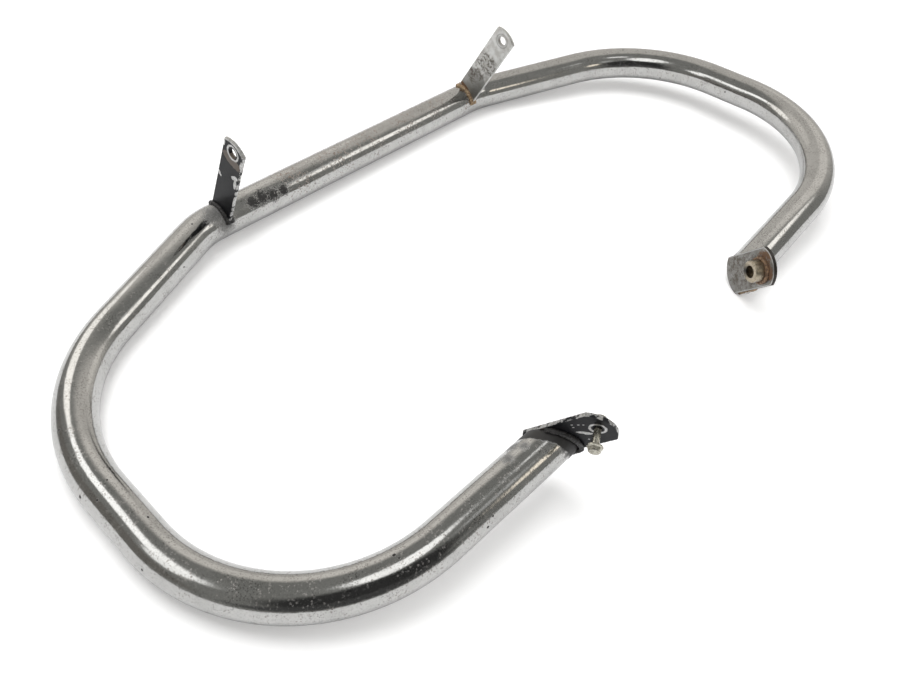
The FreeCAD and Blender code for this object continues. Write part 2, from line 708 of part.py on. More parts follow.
def make_bolt(doc, layout):
    """Flange bolt, half screwed out of the left nut, with its head on the tube's side."""
    label = "lug_bolt_left"
    flats = "Sizes.bolt_across_flats"
    head = "Sizes.bolt_head_height"
    rim = "Sizes.bolt_flange_height"
    shank = cylinder(doc, "bolt_shank", "Sizes.bolt_shank_diameter", "Sizes.bolt_length", "0 mm")
    thread_length = "Sizes.bolt_length - Sizes.bolt_shank_length"
    thread_start = "Sizes.bolt_shank_length"
    thread = cylinder(doc, "bolt_thread", "Sizes.thread_diameter", thread_length, thread_start)
    tip = doc.addObject("Part::Chamfer", "bolt_tip")
    doc.recompute()
    tip.Base = thread
    chamfer = layout.size("bolt_tip_chamfer")
    tip.Edges = [(highest_circle(thread.Shape), chamfer, chamfer)]
    plate = cylinder(doc, "bolt_flange_rim", "Sizes.bolt_flange_diameter", rim, f"-{rim}")
    slope_base = f"-({rim} + Sizes.bolt_flange_slope)"
    slope = cone(
        doc,
        "bolt_flange_slope",
        flats,
        "Sizes.bolt_flange_diameter",
        "Sizes.bolt_flange_slope",
        slope_base,
    )
    prism = hexagon(doc, "bolt_prism", flats, f"{head} - {rim}", f"-{head}")
    crown = cone(
        doc,
        "bolt_crown",
        f"{flats} * {HEAD_CROWN}",
        f"{flats} * {HEAD_CROWN} + 2 * ({head} - {rim})",
        f"{head} - {rim}",
        f"-{head}",
    )
    hex_head = combine(doc, "Part::Common", "bolt_hexagon", prism, crown)
    bolt = doc.addObject("Part::MultiFuse", label)
    bolt.Label = label
    bolt.Shapes = [shank, tip, plate, slope, hex_head]
    bolt.Refine = True
    start = Placement(Vector(0, 0, -layout.size("bolt_standoff")), Rotation())
    bolt.Placement = layout.hole_frame("left") * start
    return bolt


def make_nut(doc, layout):
    """Hexagon nut on the far side of the left lug, which the bolt is screwed into."""
    label = "lug_nut_left"
    flats = "Sizes.nut_across_flats"
    height = "Sizes.nut_height"
    prism = hexagon(doc, "nut_prism", flats, height, "0 mm")
    narrow = f"{flats} * {NUT_CROWN}"
    wide = f"{narrow} + 2 * {height}"
    lower = cone(doc, "nut_lower_crown", narrow, wide, height, "0 mm")
    upper = cone(doc, "nut_upper_crown", wide, narrow, height, "0 mm")
    trimmed = combine(doc, "Part::Common", "nut_lower_trim", prism, lower)
    crowned = combine(doc, "Part::Common", "nut_upper_trim", trimmed, upper)
    bore = "Sizes.thread_diameter + 2 * Sizes.thread_clearance"
    drill = cylinder(doc, "nut_bore", bore, height, "0 mm")
    nut = combine(doc, "Part::Cut", label, crowned, drill)
    nut.Label = label
    seat = Placement(Vector(0, 0, layout.size("lug_thickness")), Rotation())
    nut.Placement = layout.hole_frame("left") * seat
    return nut


def highest_circle(shape):
    """Number of the circular edge at the shape's top."""
    circles = [
        (edge.CenterOfMass.z, index)
        for index, edge in enumerate(shape.Edges, start=1)
        if edge.isClosed()
    ]
    return max(circles)[1]


def build_parts(doc, layout):
    """Make every sub-part about the crossbar, in the order they are welded on."""
    parts = [make_tube(doc, layout)]
    for side in SIDES:
        parts.append(make_upper_tab(doc, layout, side))
        parts.extend(make_tab_welds(doc, layout, side))
        parts.append(make_lug(doc, layout, side))
        parts.append(make_lug_weld(doc, layout, side))
    parts.append(make_collar(doc, layout, "right"))
    parts.append(make_collar_weld(doc, layout, "right"))
    parts.append(make_nut(doc, layout))
    parts.append(make_bolt(doc, layout))
    doc.recompute()
    return parts


def surface_points(shape):
    return shape.tessellate(REST_TOLERANCE)[0]


def resting_up(groups):
    """Upward direction when the guard rests on the lowest point of three groups."""
    up = Vector(0, 0, 1)
    for _ in range(REST_ROUNDS):
        bar, loop, lug = [min(points, key=up.dot) for points in groups]
        normal = (loop - bar).cross(lug - bar).normalize()
        up = normal if normal.z > 0 else -normal
    return up


def lie_down(parts, layout):
    """Lay the guard on its crossbar, its low left loop and its right lug."""
    by_label = {part.Label: part.Shape for part in parts}
    tube_points = surface_points(by_label["guard_tube"])
    bar_end = layout.size("bar_half")
    bar = [point for point in tube_points if abs(point.x) < bar_end]
    bar = [point for point in bar if point.y < layout.size("left_shoulder_down")]
    halfway = (bar_end + layout.size("left_elbow_out")) / 2
    loop = [point for point in tube_points if point.x > halfway]
    up = resting_up([bar, loop, surface_points(by_label["lug_right"])])
    along = (Vector(1, 0, 0) - up * up.x).normalize()
    turn = Placement(Vector(0, 0, 0), Rotation(along, up.cross(along), up, "ZXY").inverted())
    box = FreeCAD.BoundBox()
    for shape in by_label.values():
        for point in surface_points(shape):
            box.add(turn.multVec(point))
    middle = Vector(box.Center.x, box.Center.y, box.ZMin)
    rest = Placement(-middle, Rotation()) * turn
    for part in parts:
        part.Placement = rest * part.Placement


def check_document(doc, parts):
    """Stop where an object failed to build or a sub-part has no sound solid."""
    for item in doc.Objects:
        broken = [state for state in item.State if state in ("Invalid", "Error")]
        if broken:
            raise RuntimeError(f"{item.Label} is {broken}")
    for part in parts:
        shape = part.Shape
        if shape.isNull() or not shape.isValid() or not shape.Solids:
            raise RuntimeError(f"{part.Label} has no valid solid")


def write_parts(parts):
    os.makedirs(PARTS_DIR, exist_ok=True)
    for part in parts:
        part.Shape.exportStep(os.path.join(PARTS_DIR, f"{part.Label}.step"))


def main():
    doc = FreeCAD.newDocument("EngineGuard")
    layout = Layout(make_sheet(doc))
    parts = build_parts(doc, layout)
    lie_down(parts, layout)
    doc.recompute()
    check_document(doc, parts)
    write_parts(parts)
    for part in parts:
        box = part.Shape.BoundBox
        print(
            f"{part.Label:22s} solids {len(part.Shape.Solids)} volume {part.Shape.Volume:9.1f}"
            f" x {box.XMin:7.1f} {box.XMax:7.1f} y {box.YMin:7.1f} {box.YMax:7.1f}"
            f" z {box.ZMin:6.1f} {box.ZMax:6.1f}"
        )


main()
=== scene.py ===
"""Looks of the motorcycle engine guard: chrome tube, painted and bare brackets, welds and hardware.

The guard lies on a pale surface. Every class below builds or dresses one sub-assembly in the
row frame, in metres. Plates keep their solids and get a material laid out in the plate's own
plane. The tube, the weld beads and the threads are built by node trees that follow their paths.
"""

import logging
import math
from dataclasses import dataclass, field
from enum import Enum

import bmesh
import bpy
from mathutils import Matrix, Vector


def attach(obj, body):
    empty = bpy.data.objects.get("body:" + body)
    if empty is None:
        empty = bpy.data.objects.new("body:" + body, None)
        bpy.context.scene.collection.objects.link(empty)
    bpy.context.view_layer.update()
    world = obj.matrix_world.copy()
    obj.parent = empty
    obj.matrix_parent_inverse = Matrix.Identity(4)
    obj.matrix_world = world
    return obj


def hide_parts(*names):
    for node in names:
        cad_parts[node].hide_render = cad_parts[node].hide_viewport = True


LOG = logging.getLogger("engine_guard")
BODY = "root"
MM = 0.001

Triple = tuple[float, float, float]


class Side(Enum):
    """Side of the guard, as the rider sees it."""

    LEFT = "left"
    RIGHT = "right"


@dataclass(frozen=True)
class Place:
    """Right-handed frame in the row: rows of a 3 x 4 matrix, lengths in metres."""

    rows: tuple[tuple[float, float, float, float], ...]

    def matrix(self) -> Matrix:
        """Return the frame as a 4 x 4 matrix."""
        return Matrix([*self.rows, (0.0, 0.0, 0.0, 1.0)])


TAB_PLACE = {
    Side.LEFT: Place(
        (
            (0.004679, -0.0129023, 0.9999058, 0.1540427),
            (0.9400901, 0.340926, 0.0, -0.1894821),
            (-0.3408939, 0.9400016, 0.0137245, 0.020204),
        )
    ),
    Side.RIGHT: Place(
        (
            (-0.0061738, -0.0122575, -0.9999058, -0.1543282),
            (-0.8931101, 0.4498382, 0.0, -0.1894821),
            (0.4497958, 0.893026, -0.0137245, 0.0159714),
        )
    ),
}
LUG_PLACE = {
    Side.LEFT: Place(
        (
            (-0.1969766, -0.5002708, -0.8431663, 0.147012),
            (0.6299787, 0.5943837, -0.4998349, 0.1680727),
            (0.7512171, -0.6296326, 0.1980802, 0.0442529),
        )
    ),
    Side.RIGHT: Place(
        (
            (0.30285, -0.3966799, 0.8665604, -0.1366678),
            (0.5628623, -0.6592953, -0.4985135, 0.1601316),
            (0.7690695, 0.638729, 0.0236086, 0.0189727),
        )
    ),
}
HOLE_PLACE = {
    Side.LEFT: Place(
        (
            (-0.1969766, -0.5002708, -0.8431663, 0.1392558),
            (0.6299787, 0.5943837, -0.4998349, 0.1934822),
            (0.7512171, -0.6296326, 0.1980802, 0.0753555),
        )
    ),
    Side.RIGHT: Place(
        (
            (0.30285, -0.3966799, 0.8665604, -0.1267543),
            (0.5628623, -0.6592953, -0.4985135, 0.1784471),
            (0.7690695, 0.638729, 0.0236086, 0.0418427),
        )
    ),
}


class Graph:
    """Small helper that adds and links nodes of one tree."""

    def __init__(self, tree: bpy.types.NodeTree) -> None:
        """Keep the tree that nodes are added to."""
        self.tree = tree

    def node(self, kind: str, **settings: object) -> bpy.types.Node:
        """Add a node.

        Args:
            kind: the node's type name.
            **settings: attributes set on it.

        Returns:
            The new node.
        """
        made = self.tree.nodes.new(kind)
        for name, value in settings.items():
            setattr(made, name, value)
        return made

    def feed(self, socket: bpy.types.NodeSocket, value: object) -> None:
        """Link a socket into an input, or set the input's own value.

        Args:
            socket: the input.
            value: another socket, a number or a tuple.
        """
        if isinstance(value, bpy.types.NodeSocket):
            self.tree.links.new(value, socket)
        else:
            socket.default_value = value

    def math(self, operation: str, *values: object, clamp: bool = False) -> bpy.types.NodeSocket:
        """Add a Math node.

        Args:
            operation: its operation.
            *values: its inputs in order.
            clamp: whether the result stays within 0 and 1.

        Returns:
            The result.
        """
        made = self.node("ShaderNodeMath", operation=operation, use_clamp=clamp)
        for socket, value in zip(made.inputs, values):
            self.feed(socket, value)
        return made.outputs[0]

    def plus(self, first: object, second: object, clamp: bool = False) -> bpy.types.NodeSocket:
        """Sum of two values, within 0 and 1 if clamped."""
        return self.math("ADD", first, second, clamp=clamp)

    def minus(self, first: object, second: object, clamp: bool = False) -> bpy.types.NodeSocket:
        """First value less the second, within 0 and 1 if clamped."""
        return self.math("SUBTRACT", first, second, clamp=clamp)

    def length(self, first: object, second: object) -> bpy.types.NodeSocket:
        """Length of the arrow that has two values as its components."""
        return self.math("SQRT", self.plus(self.times(first, first), self.times(second, second)))

    def vector(self, operation: str, *values: object) -> bpy.types.Node:
        """Add a Vector Math node and return it.

        Args:
            operation: its operation.
            *values: its vector inputs in order.

        Returns:
            The node.
        """
        made = self.node("ShaderNodeVectorMath", operation=operation)
        for socket, value in zip(made.inputs, values):
            self.feed(socket, value)
        return made

    def step(self, value: object, low: float, high: float) -> bpy.types.NodeSocket:
        """Smooth step of a value from 0 at low to 1 at high; low may be the larger.

        Args:
            value: the value.
            low: where the result is 0.
            high: where the result is 1.

        Returns:
            The result.
        """
        made = self.node("ShaderNodeMapRange", interpolation_type="SMOOTHSTEP")
        made.inputs["To Min"].default_value = 0.0 if low < high else 1.0
        made.inputs["To Max"].default_value = 1.0 if low < high else 0.0
        self.feed(made.inputs["Value"], value)
        made.inputs["From Min"].default_value = min(low, high)
        made.inputs["From Max"].default_value = max(low, high)
        return made.outputs["Result"]

    def noise(
        self,
        place: bpy.types.NodeSocket,
        scale: float,
        detail: float = 3.0,
        rough: float = 0.6,
    ) -> bpy.types.NodeSocket:
        """Add a noise texture.

        Args:
            place: coordinates in metres.
            scale: features to the metre.
            detail: octaves.
            rough: strength of the finer octaves.

        Returns:
            The noise from 0 to 1.
        """
        made = self.node("ShaderNodeTexNoise")
        self.feed(made.inputs["Vector"], place)
        made.inputs["Scale"].default_value = scale
        made.inputs["Detail"].default_value = detail
        made.inputs["Roughness"].default_value = rough
        return made.outputs["Fac"]

    def cells(self, place: bpy.types.NodeSocket, scale: float) -> bpy.types.NodeSocket:
        """Distance to the nearest of scattered points, in cells.

        Args:
            place: coordinates in metres.
            scale: cells to the metre.

        Returns:
            The distance.
        """
        made = self.node("ShaderNodeTexVoronoi")
        self.feed(made.inputs["Vector"], place)
        made.inputs["Scale"].default_value = scale
        return made.outputs["Distance"]

    def stretched(self, place: bpy.types.NodeSocket, factors: Triple) -> bpy.types.NodeSocket:
        """Scale coordinates along their axes.

        Args:
            place: the coordinates.
            factors: one factor for each axis.

        Returns:
            The scaled coordinates.
        """
        made = self.node("ShaderNodeMapping", vector_type="POINT")
        self.feed(made.inputs["Vector"], place)
        made.inputs["Scale"].default_value = factors
        return made.outputs["Vector"]

    def feed_colour(self, socket: bpy.types.NodeSocket, value: object) -> None:
        """Link a colour into an input, or set the input from an RGB tuple."""
        self.feed(socket, (*value, 1.0) if isinstance(value, tuple) else value)

    def blend(self, factor: object, first: object, second: object) -> bpy.types.NodeSocket:
        """Mix two colours.

        Args:
            factor: share of the second colour.
            first: colour socket or RGB tuple.
            second: colour socket or RGB tuple.

        Returns:
            The mixed colour.
        """
        made = self.node("ShaderNodeMix", data_type="RGBA")
        self.feed(made.inputs["Factor"], factor)
        self.feed_colour(made.inputs[6], first)
        self.feed_colour(made.inputs[7], second)
        return made.outputs[2]

    def lerp(self, factor: object, first: object, second: object) -> bpy.types.NodeSocket:
        """Mix two numbers.

        Args:
            factor: share of the second number.
            first: number or socket.
            second: number or socket.

        Returns:
            The mixed number.
        """
        made = self.node("ShaderNodeMix", data_type="FLOAT")
        self.feed(made.inputs[0], factor)
        self.feed(made.inputs[2], first)
        self.feed(made.inputs[3], second)
        return made.outputs[0]

    def most(self, *values: bpy.types.NodeSocket) -> bpy.types.NodeSocket:
        """Largest of several masks.

        Args:
            *values: the masks.

        Returns:
            The largest.
        """
        result = values[0]
        for value in values[1:]:
            result = self.math("MAXIMUM", result, value)
        return result

    def times(self, *values: object) -> bpy.types.NodeSocket:
        """Product of several values.

        Args:
            *values: the factors.

        Returns:
            The product.
        """
        result = values[0]
        for value in values[1:]:
            result = self.math("MULTIPLY", result, value)
        return result


class Surface(Graph):
    """Material tree with a Principled shader, ready for colour, roughness, metal and bump."""

    def __init__(self, name: str) -> None:
        """Make the material.

        Args:
            name: the material's name.
        """
        self.material = bpy.data.materials.new(name)
        self.material.use_nodes = True
        super().__init__(self.material.node_tree)
        self.shader = self.tree.nodes["Principled BSDF"]
        self.shader.inputs["Specular IOR Level"].default_value = 0.5
        self.here = self.node("ShaderNodeTexCoord").outputs["Object"]

    def within(self, place: Place) -> bpy.types.NodeSocket:
        """Coordinates in a frame of the row.

        Args:
            place: the frame.

        Returns:
            Local coordinates in metres.
        """
        matrix = place.matrix()
        made = self.node("ShaderNodeMapping", vector_type="TEXTURE")
        self.feed(made.inputs["Vector"], self.here)
        made.inputs["Location"].default_value = matrix.to_translation()
        made.inputs["Rotation"].default_value = matrix.to_euler("XYZ")
        return made.outputs["Vector"]

    def near(
        self, centre: Triple, radius: float, place: bpy.types.NodeSocket | None = None
    ) -> bpy.types.NodeSocket:
        """Soft mask, 1 at a point in metres and 0 from the radius on, in the row unless placed."""
        gap = self.vector("DISTANCE", place or self.here, centre).outputs["Value"]
        return self.step(gap, radius, 0.0)

    def waver(self, scale: float, detail: float = 3.0, rough: float = 0.6) -> bpy.types.NodeSocket:
        """Noise from -0.5 to 0.5 for ragged edges, with the inputs of noise()."""
        return self.minus(self.noise(self.here, scale, detail, rough), 0.5)

    def flecks(self, scale: float, edge: float, core: float) -> bpy.types.NodeSocket:
        """Scattered dots: cells to the metre, and a dot's radius and full core in cells."""
        return self.step(self.cells(self.here, scale), edge, core)

    def finish(
        self,
        colour: object,
        metal: object,
        rough: object,
        height: object | None = None,
        depth: float = 0.0001,
    ) -> bpy.types.Material:
        """Wire the shader.

        Args:
            colour: base colour.
            metal: metallic share.
            rough: roughness.
            height: bump height from 0 to 1, or None.
            depth: depth of that bump in metres.

        Returns:
            The material.
        """
        self.feed_colour(self.shader.inputs["Base Color"], colour)
        self.feed(self.shader.inputs["Metallic"], metal)
        self.feed(self.shader.inputs["Roughness"], rough)
        if height is not None:
            bump = self.node("ShaderNodeBump")
            bump.inputs["Distance"].default_value = depth
            bump.inputs["Strength"].default_value = 1.0
            self.feed(bump.inputs["Height"], height)
            self.feed(self.shader.inputs["Normal"], bump.outputs["Normal"])
        return self.material


@dataclass(frozen=True)
class Spot:
    """Round mark on the tube: centre in millimetres of the row, and its radius."""

    centre: Triple
    radius: float

    def metres(self) -> tuple[Triple, float]:
        """Return the centre and radius in metres."""
        x, y, z = self.centre
        return (x * MM, y * MM, z * MM), self.radius * MM


@dataclass(frozen=True)
class TubeChrome:
    """Scuffed chrome with soot, rust specks, nicks, and black paint at the left end."""

    plate: Triple = (0.53, 0.527, 0.51)
    cloudy_plate: Triple = (0.47, 0.467, 0.45)
    dull: Triple = (0.24, 0.238, 0.228)
    speck: Triple = (0.16, 0.155, 0.145)
    rust: Triple = (0.13, 0.075, 0.04)
    overspray: Triple = (0.06, 0.058, 0.055)
    soot: Triple = (0.018, 0.017, 0.016)
    nick: Triple = (0.02, 0.018, 0.016)
    end_paint: Triple = (0.022, 0.021, 0.02)
    soot_flaking: float = 2.6
    overspray_flaking: float = 2.2
    nick_flaking: float = 0.8
    bump_depth: float = 0.06 * MM
    paint_edge: float = -8.4 * MM
    paint_fade: float = 1.4 * MM
    paint_reach: float = 55.0 * MM
    soot_spots: tuple[Spot, ...] = (
        Spot((126.0, -178.8, 31.6), 15.0),
        Spot((116.3, -178.9, 31.5), 17.0),
        Spot((106.0, -177.6, 30.0), 16.0),
        Spot((94.0, -177.1, 29.3), 12.0),
    )
    overspray_spots: tuple[Spot, ...] = (
        Spot((163.0, -184.0, 34.0), 20.0),
        Spot((158.0, -176.0, 26.0), 17.0),
        Spot((175.2, 155.4, 51.8), 9.0),
        Spot((172.0, 162.2, 56.6), 7.0),
        Spot((186.0, 160.5, 54.5), 8.0),
        Spot((152.6, 181.0, 53.5), 6.0),
        Spot((150.0, 184.0, 48.0), 6.0),
    )
    nicks: tuple[Spot, ...] = (
        Spot((283.2, 155.6, 44.6), 2.3),
        Spot((282.6, 159.3, 45.1), 1.5),
        Spot((225.7, 180.6, 40.2), 2.0),
        Spot((225.0, 180.0, 37.5), 1.6),
        Spot((219.9, 179.1, 44.7), 1.5),
        Spot((371.2, -14.2, 32.0), 1.5),
        Spot((368.1, 25.9, 31.3), 1.6),
        Spot((371.2, -72.3, 28.7), 1.9),
        Spot((387.9, -21.7, 22.0), 2.2),
        Spot((389.3, 48.4, 21.7), 1.9),
        Spot((383.1, -7.5, 29.1), 1.7),
        Spot((185.1, -183.0, 35.9), 1.5),
        Spot((213.8, -156.5, 23.3), 1.4),
        Spot((-358.5, 2.9, 38.2), 1.6),
        Spot((-347.7, -69.7, 25.5), 1.6),
        Spot((-366.3, 6.1, 51.0), 1.4),
        Spot((-332.2, -114.4, 45.1), 1.8),
        Spot((-369.9, 73.9, 54.5), 1.6),
    )
    scuffs: tuple[Spot, ...] = (
        Spot((355.4, 110.3, 36.0), 34.0),
        Spot((335.7, 131.6, 38.6), 30.0),
        Spot((380.0, -41.4, 29.0), 26.0),
        Spot((374.8, -65.0, 28.1), 22.0),
    )
    rust_spots: tuple[Spot, ...] = (
        Spot((77.6, -187.5, 34.9), 34.0),
        Spot((27.5, -190.6, 34.3), 38.0),
        Spot((-10.9, -191.3, 33.7), 36.0),
        Spot((-65.5, -192.5, 32.8), 38.0),
        Spot((-109.3, -193.6, 31.9), 34.0),
        Spot((-146.0, -176.0, 20.0), 16.0),
    )

    def material(self) -> bpy.types.Material:
        """Build the finish.

        Returns:
            The material.
        """
        s = Surface("chrome_tube_finish")
        cloud = s.noise(s.here, 38.0, 4.0)
        haze = s.step(s.noise(s.here, 900.0, 5.0, 0.8), 0.50, 0.72)
        flaky = s.waver(700.0, 6.0, 0.75)
        rust = self.rust_mask(s)
        soot = s.plus(self.zone(s, self.soot_spots), s.times(flaky, self.soot_flaking))
        soot = s.step(soot, 0.60, 0.74)
        spray = s.plus(self.zone(s, self.overspray_spots), s.times(flaky, self.overspray_flaking))
        spray = s.times(s.step(spray, 0.15, 1.0), 0.8)
        nick = s.plus(self.zone(s, self.nicks), s.times(s.waver(260.0, 4.0), self.nick_flaking))
        nick = s.step(nick, 0.40, 0.60)
        end = self.painted_end(s)
        scuff_zone = self.zone(s, self.scuffs)
        streaks = s.noise(s.stretched(s.here, (1.0, 1.0, 3.0)), 900.0, 3.0, 0.7)
        scuff = s.times(scuff_zone, s.step(streaks, 0.48, 0.62))
        fine_specks = s.times(
            s.flecks(760.0, 0.42, 0.20), s.step(s.noise(s.here, 70.0, 4.0), 0.48, 0.62)
        )

        colour = s.blend(s.step(cloud, 0.40, 0.75), self.plate, self.cloudy_plate)
        for mask, tone in (
            (s.times(haze, 0.8), self.dull),
            (s.times(fine_specks, 0.7), self.speck),
            (rust, self.rust),
            (spray, self.overspray),
            (soot, self.soot),
            (nick, self.nick),
            (end, self.end_paint),
        ):
            colour = s.blend(mask, colour, tone)

        dirt = s.most(soot, spray, nick, end, s.times(rust, 0.85))
        metal = s.minus(1.0, dirt, clamp=True)
        rough = s.lerp(s.step(cloud, 0.35, 0.75), 0.09, 0.16)
        for mask, value in ((haze, 0.24), (scuff, 0.17), (dirt, 0.52)):
            rough = s.lerp(mask, rough, value)

        height = s.minus(s.times(s.noise(s.here, 150.0, 3.0), 0.9), s.times(nick, 2.0))
        fretted = s.times(scuff_zone, s.noise(s.here, 620.0, 3.0, 0.6))
        height = s.plus(height, s.times(fretted, 0.55))
        height = s.plus(height, s.times(s.noise(s.here, 520.0, 3.0), 0.10))
        grain = s.times(s.noise(s.here, 9000.0, 2.0), 1.2)
        height = s.plus(height, s.times(s.most(soot, rust, spray), grain))
        return s.finish(colour, metal, rough, height, self.bump_depth)

    def rust_mask(self, s: Surface) -> bpy.types.NodeSocket:
        """Mask of the rust: patches along the crossbar, and specks that are thickest there.

        Args:
            s: the material's tree.

        Returns:
            The mask.
        """
        rust_zone = self.zone(s, self.rust_spots)
        patches = s.times(rust_zone, s.step(s.noise(s.here, 420.0, 5.0, 0.72), 0.53, 0.66))
        specks = s.times(
            s.flecks(480.0, 0.44, 0.22), s.step(s.noise(s.here, 110.0, 4.0), 0.46, 0.58)
        )
        share = s.plus(s.times(rust_zone, 0.8), 0.25, clamp=True)
        return s.most(patches, s.times(specks, share))

    @staticmethod
    def zone(s: Surface, spots: tuple[Spot, ...]) -> bpy.types.NodeSocket:
        """Mask of several spots."""
        return s.most(*[s.near(*spot.metres()) for spot in spots])

    def painted_end(self, s: Surface) -> bpy.types.NodeSocket:
        """Mask of the black paint on the tube by the left lug.

        Args:
            s: the material's tree.

        Returns:
            The mask.
        """
        local = s.within(LUG_PLACE[Side.LEFT])
        parts = s.node("ShaderNodeSeparateXYZ")
        s.feed(parts.inputs[0], local)
        wavy = s.times(s.waver(130.0, 4.0), 6.0 * MM)
        edge = s.step(s.plus(parts.outputs[2], wavy), self.paint_edge - self.paint_fade, self.paint_edge)
        gap = s.vector("LENGTH", local).outputs["Value"]
        return s.times(edge, s.step(gap, self.paint_reach + 5.0 * MM, self.paint_reach))


@dataclass(frozen=True)
class Chip:
    """Oval mark on a plate: centre and half sizes in millimetres, turn in degrees."""

    centre: tuple[float, float]
    half: tuple[float, float]
    turn: float = 0.0


@dataclass(frozen=True)
class PlateShape:
    """Outline of a flat plate in its own plane, in millimetres, with its hole and washer mark."""

    half_width: float
    tip_centre: tuple[float, float]
    tip_radius: float
    tip_axis: int
    hole: tuple[float, float]
    hole_radius: float
    ring_radius: float
    ring_width: float = 1.7


FAR = 99.0  # millimetres, past every rim


class PlateFinish:
    """Masks shared by the finishes of the flat plates."""

    def __init__(self, name: str, place: Place, shape: PlateShape) -> None:
        """Open the material.

        Args:
            name: the material's name.
            place: the plate's frame.
            shape: the plate's outline.
        """
        self.s = Surface(name)
        self.shape = shape
        s = self.s
        local = s.vector("SCALE", s.within(place))
        local.inputs["Scale"].default_value = 1.0 / MM
        parts = s.node("ShaderNodeSeparateXYZ")
        s.feed(parts.inputs[0], local.outputs["Vector"])
        self.x, self.y = parts.outputs[:2]
        self.ragged = s.waver(520.0, 5.0, 0.7)

    def offset(
        self, centre: tuple[float, float]
    ) -> tuple[bpy.types.NodeSocket, bpy.types.NodeSocket]:
        """Offset in the plate's plane from a point, in millimetres."""
        return self.s.minus(self.x, centre[0]), self.s.minus(self.y, centre[1])

    def flat_gap(self, centre: tuple[float, float]) -> bpy.types.NodeSocket:
        """Distance in the plate's plane from a point, in millimetres."""
        return self.s.length(*self.offset(centre))

    def rim_gap(self) -> bpy.types.NodeSocket:
        """Distance to the plate's outline near its tip and along its sides, in millimetres."""
        s = self.s
        shape = self.shape
        across, along = (self.x, self.y) if shape.tip_axis == 1 else (self.y, self.x)
        centre = shape.tip_centre[shape.tip_axis]
        offset = shape.tip_centre[1 - shape.tip_axis]
        aside = s.math("ABSOLUTE", s.minus(across, offset))
        side = s.minus(shape.half_width, aside)
        round_gap = s.minus(shape.tip_radius, self.flat_gap(shape.tip_centre))
        beyond = s.step(along, centre - 1.0, centre + 1.0)
        return s.math("MINIMUM", side, s.lerp(beyond, FAR, round_gap))

    def ring(self, inner: float, outer: float) -> bpy.types.NodeSocket:
        """Worn ring round the hole.

        Args:
            inner: inside radius in millimetres.
            outer: outside radius in millimetres.

        Returns:
            The mask.
        """
        s = self.s
        gap = s.plus(self.flat_gap(self.shape.hole), s.times(self.ragged, 1.4))
        return s.times(s.step(gap, inner - 0.3, inner + 0.3), s.step(gap, outer + 0.3, outer - 0.3))

    def chips(self, marks: tuple[Chip, ...], rough: float = 0.9) -> bpy.types.NodeSocket:
        """Ragged oval marks.

        Args:
            marks: the marks.
            rough: how ragged their edges are.

        Returns:
            The mask.
        """
        s = self.s
        found = []
        for mark in marks:
            dx, dy = self.offset(mark.centre)
            c, n = math.cos(math.radians(mark.turn)), math.sin(math.radians(mark.turn))
            long_half, short_half = mark.half
            u = s.plus(s.times(dx, c / long_half), s.times(dy, n / long_half))
            v = s.minus(s.times(dy, c / short_half), s.times(dx, n / short_half))
            gap = s.length(u, v)
            gap = s.plus(gap, s.times(self.ragged, rough))
            found.append(s.step(gap, 1.08, 0.92))
        return s.most(*found)


@dataclass(frozen=True)
class PlateLook:
    """What is worn, chipped or stained on one plate, and where shade and a rim highlight are painted on
    it.
    """

    chips: tuple[Chip, ...] = ()
    stains: tuple[Chip, ...] = ()
    rusts: tuple[Chip, ...] = ()
    # Patches of painted shade, where a bare plate reflects the dark tube or lies in a part's shadow.
    painted_shades: tuple[Chip, ...] = ()
    # Width of the rim band: bare metal worn through the paint on painted plates, a painted highlight on
    # bare plates.
    rim_wear_and_highlight: float = 0.9
    # Whether a bare plate's very rim gets a painted shade.
    painted_shaded_rim: bool = False
    tip_wear: Chip | None = None


@dataclass(frozen=True)
class BlackPaint:
    """Thin black paint, chipped to bare metal along its edges and round its hole."""

    paint: Triple = (0.007, 0.0075, 0.009)
    dusty_paint: Triple = (0.02, 0.02, 0.022)
    bare: Triple = (0.62, 0.62, 0.61)
    worn: Triple = (0.36, 0.35, 0.33)
    brown: Triple = (0.16, 0.13, 0.105)
    rust: Triple = (0.12, 0.06, 0.035)
    gloss: float = 0.16
    bump_depth: float = 0.12 * MM

    def material(
        self, name: str, place: Place, shape: PlateShape, look: PlateLook
    ) -> bpy.types.Material:
        """Build the finish for one plate.

        Args:
            name: the material's name.
            place: the plate's frame.
            shape: the plate's outline.
            look: its wear.

        Returns:
            The material.
        """
        p = PlateFinish(name, place, shape)
        s = p.s
        rim = s.plus(p.rim_gap(), s.times(p.ragged, 2.6))
        patchy = s.step(s.noise(s.here, 170.0, 3.0), 0.44, 0.56)
        edge = s.times(s.step(rim, look.rim_wear_and_highlight + 0.25, look.rim_wear_and_highlight - 0.25), patchy)
        bare = s.most(edge, p.ring(shape.ring_radius - shape.ring_width, shape.ring_radius))
        if look.chips:
            bare = s.most(bare, p.chips(look.chips))
        if look.tip_wear:
            tip = s.times(p.chips((look.tip_wear,), 0.5), s.step(rim, 1.7, 1.1))
            bare = s.most(bare, tip)
        stain = p.chips(look.stains, 0.7) if look.stains else 0.0
        rust = p.chips(look.rusts, 1.2) if look.rusts else 0.0
        dust = s.step(s.noise(s.here, 700.0, 4.0, 0.7), 0.50, 0.75)
        paint = s.blend(s.times(dust, 0.3), self.paint, self.dusty_paint)
        metal_tone = s.blend(s.step(s.noise(s.here, 600.0, 3.0), 0.35, 0.7), self.bare, self.worn)
        colour = s.blend(s.times(stain, 0.8), paint, self.brown)
        colour = s.blend(bare, colour, metal_tone)
        colour = s.blend(s.times(rust, 0.8), colour, self.rust)
        metal = s.times(bare, 0.9)
        rough = s.lerp(bare, s.lerp(dust, 0.34, 0.5), 0.38)
        height = s.minus(s.times(s.noise(s.here, 1500.0, 3.0), 0.3), bare)
        s.shader.inputs["Specular IOR Level"].default_value = self.gloss
        return s.finish(colour, metal, rough, height, self.bump_depth)


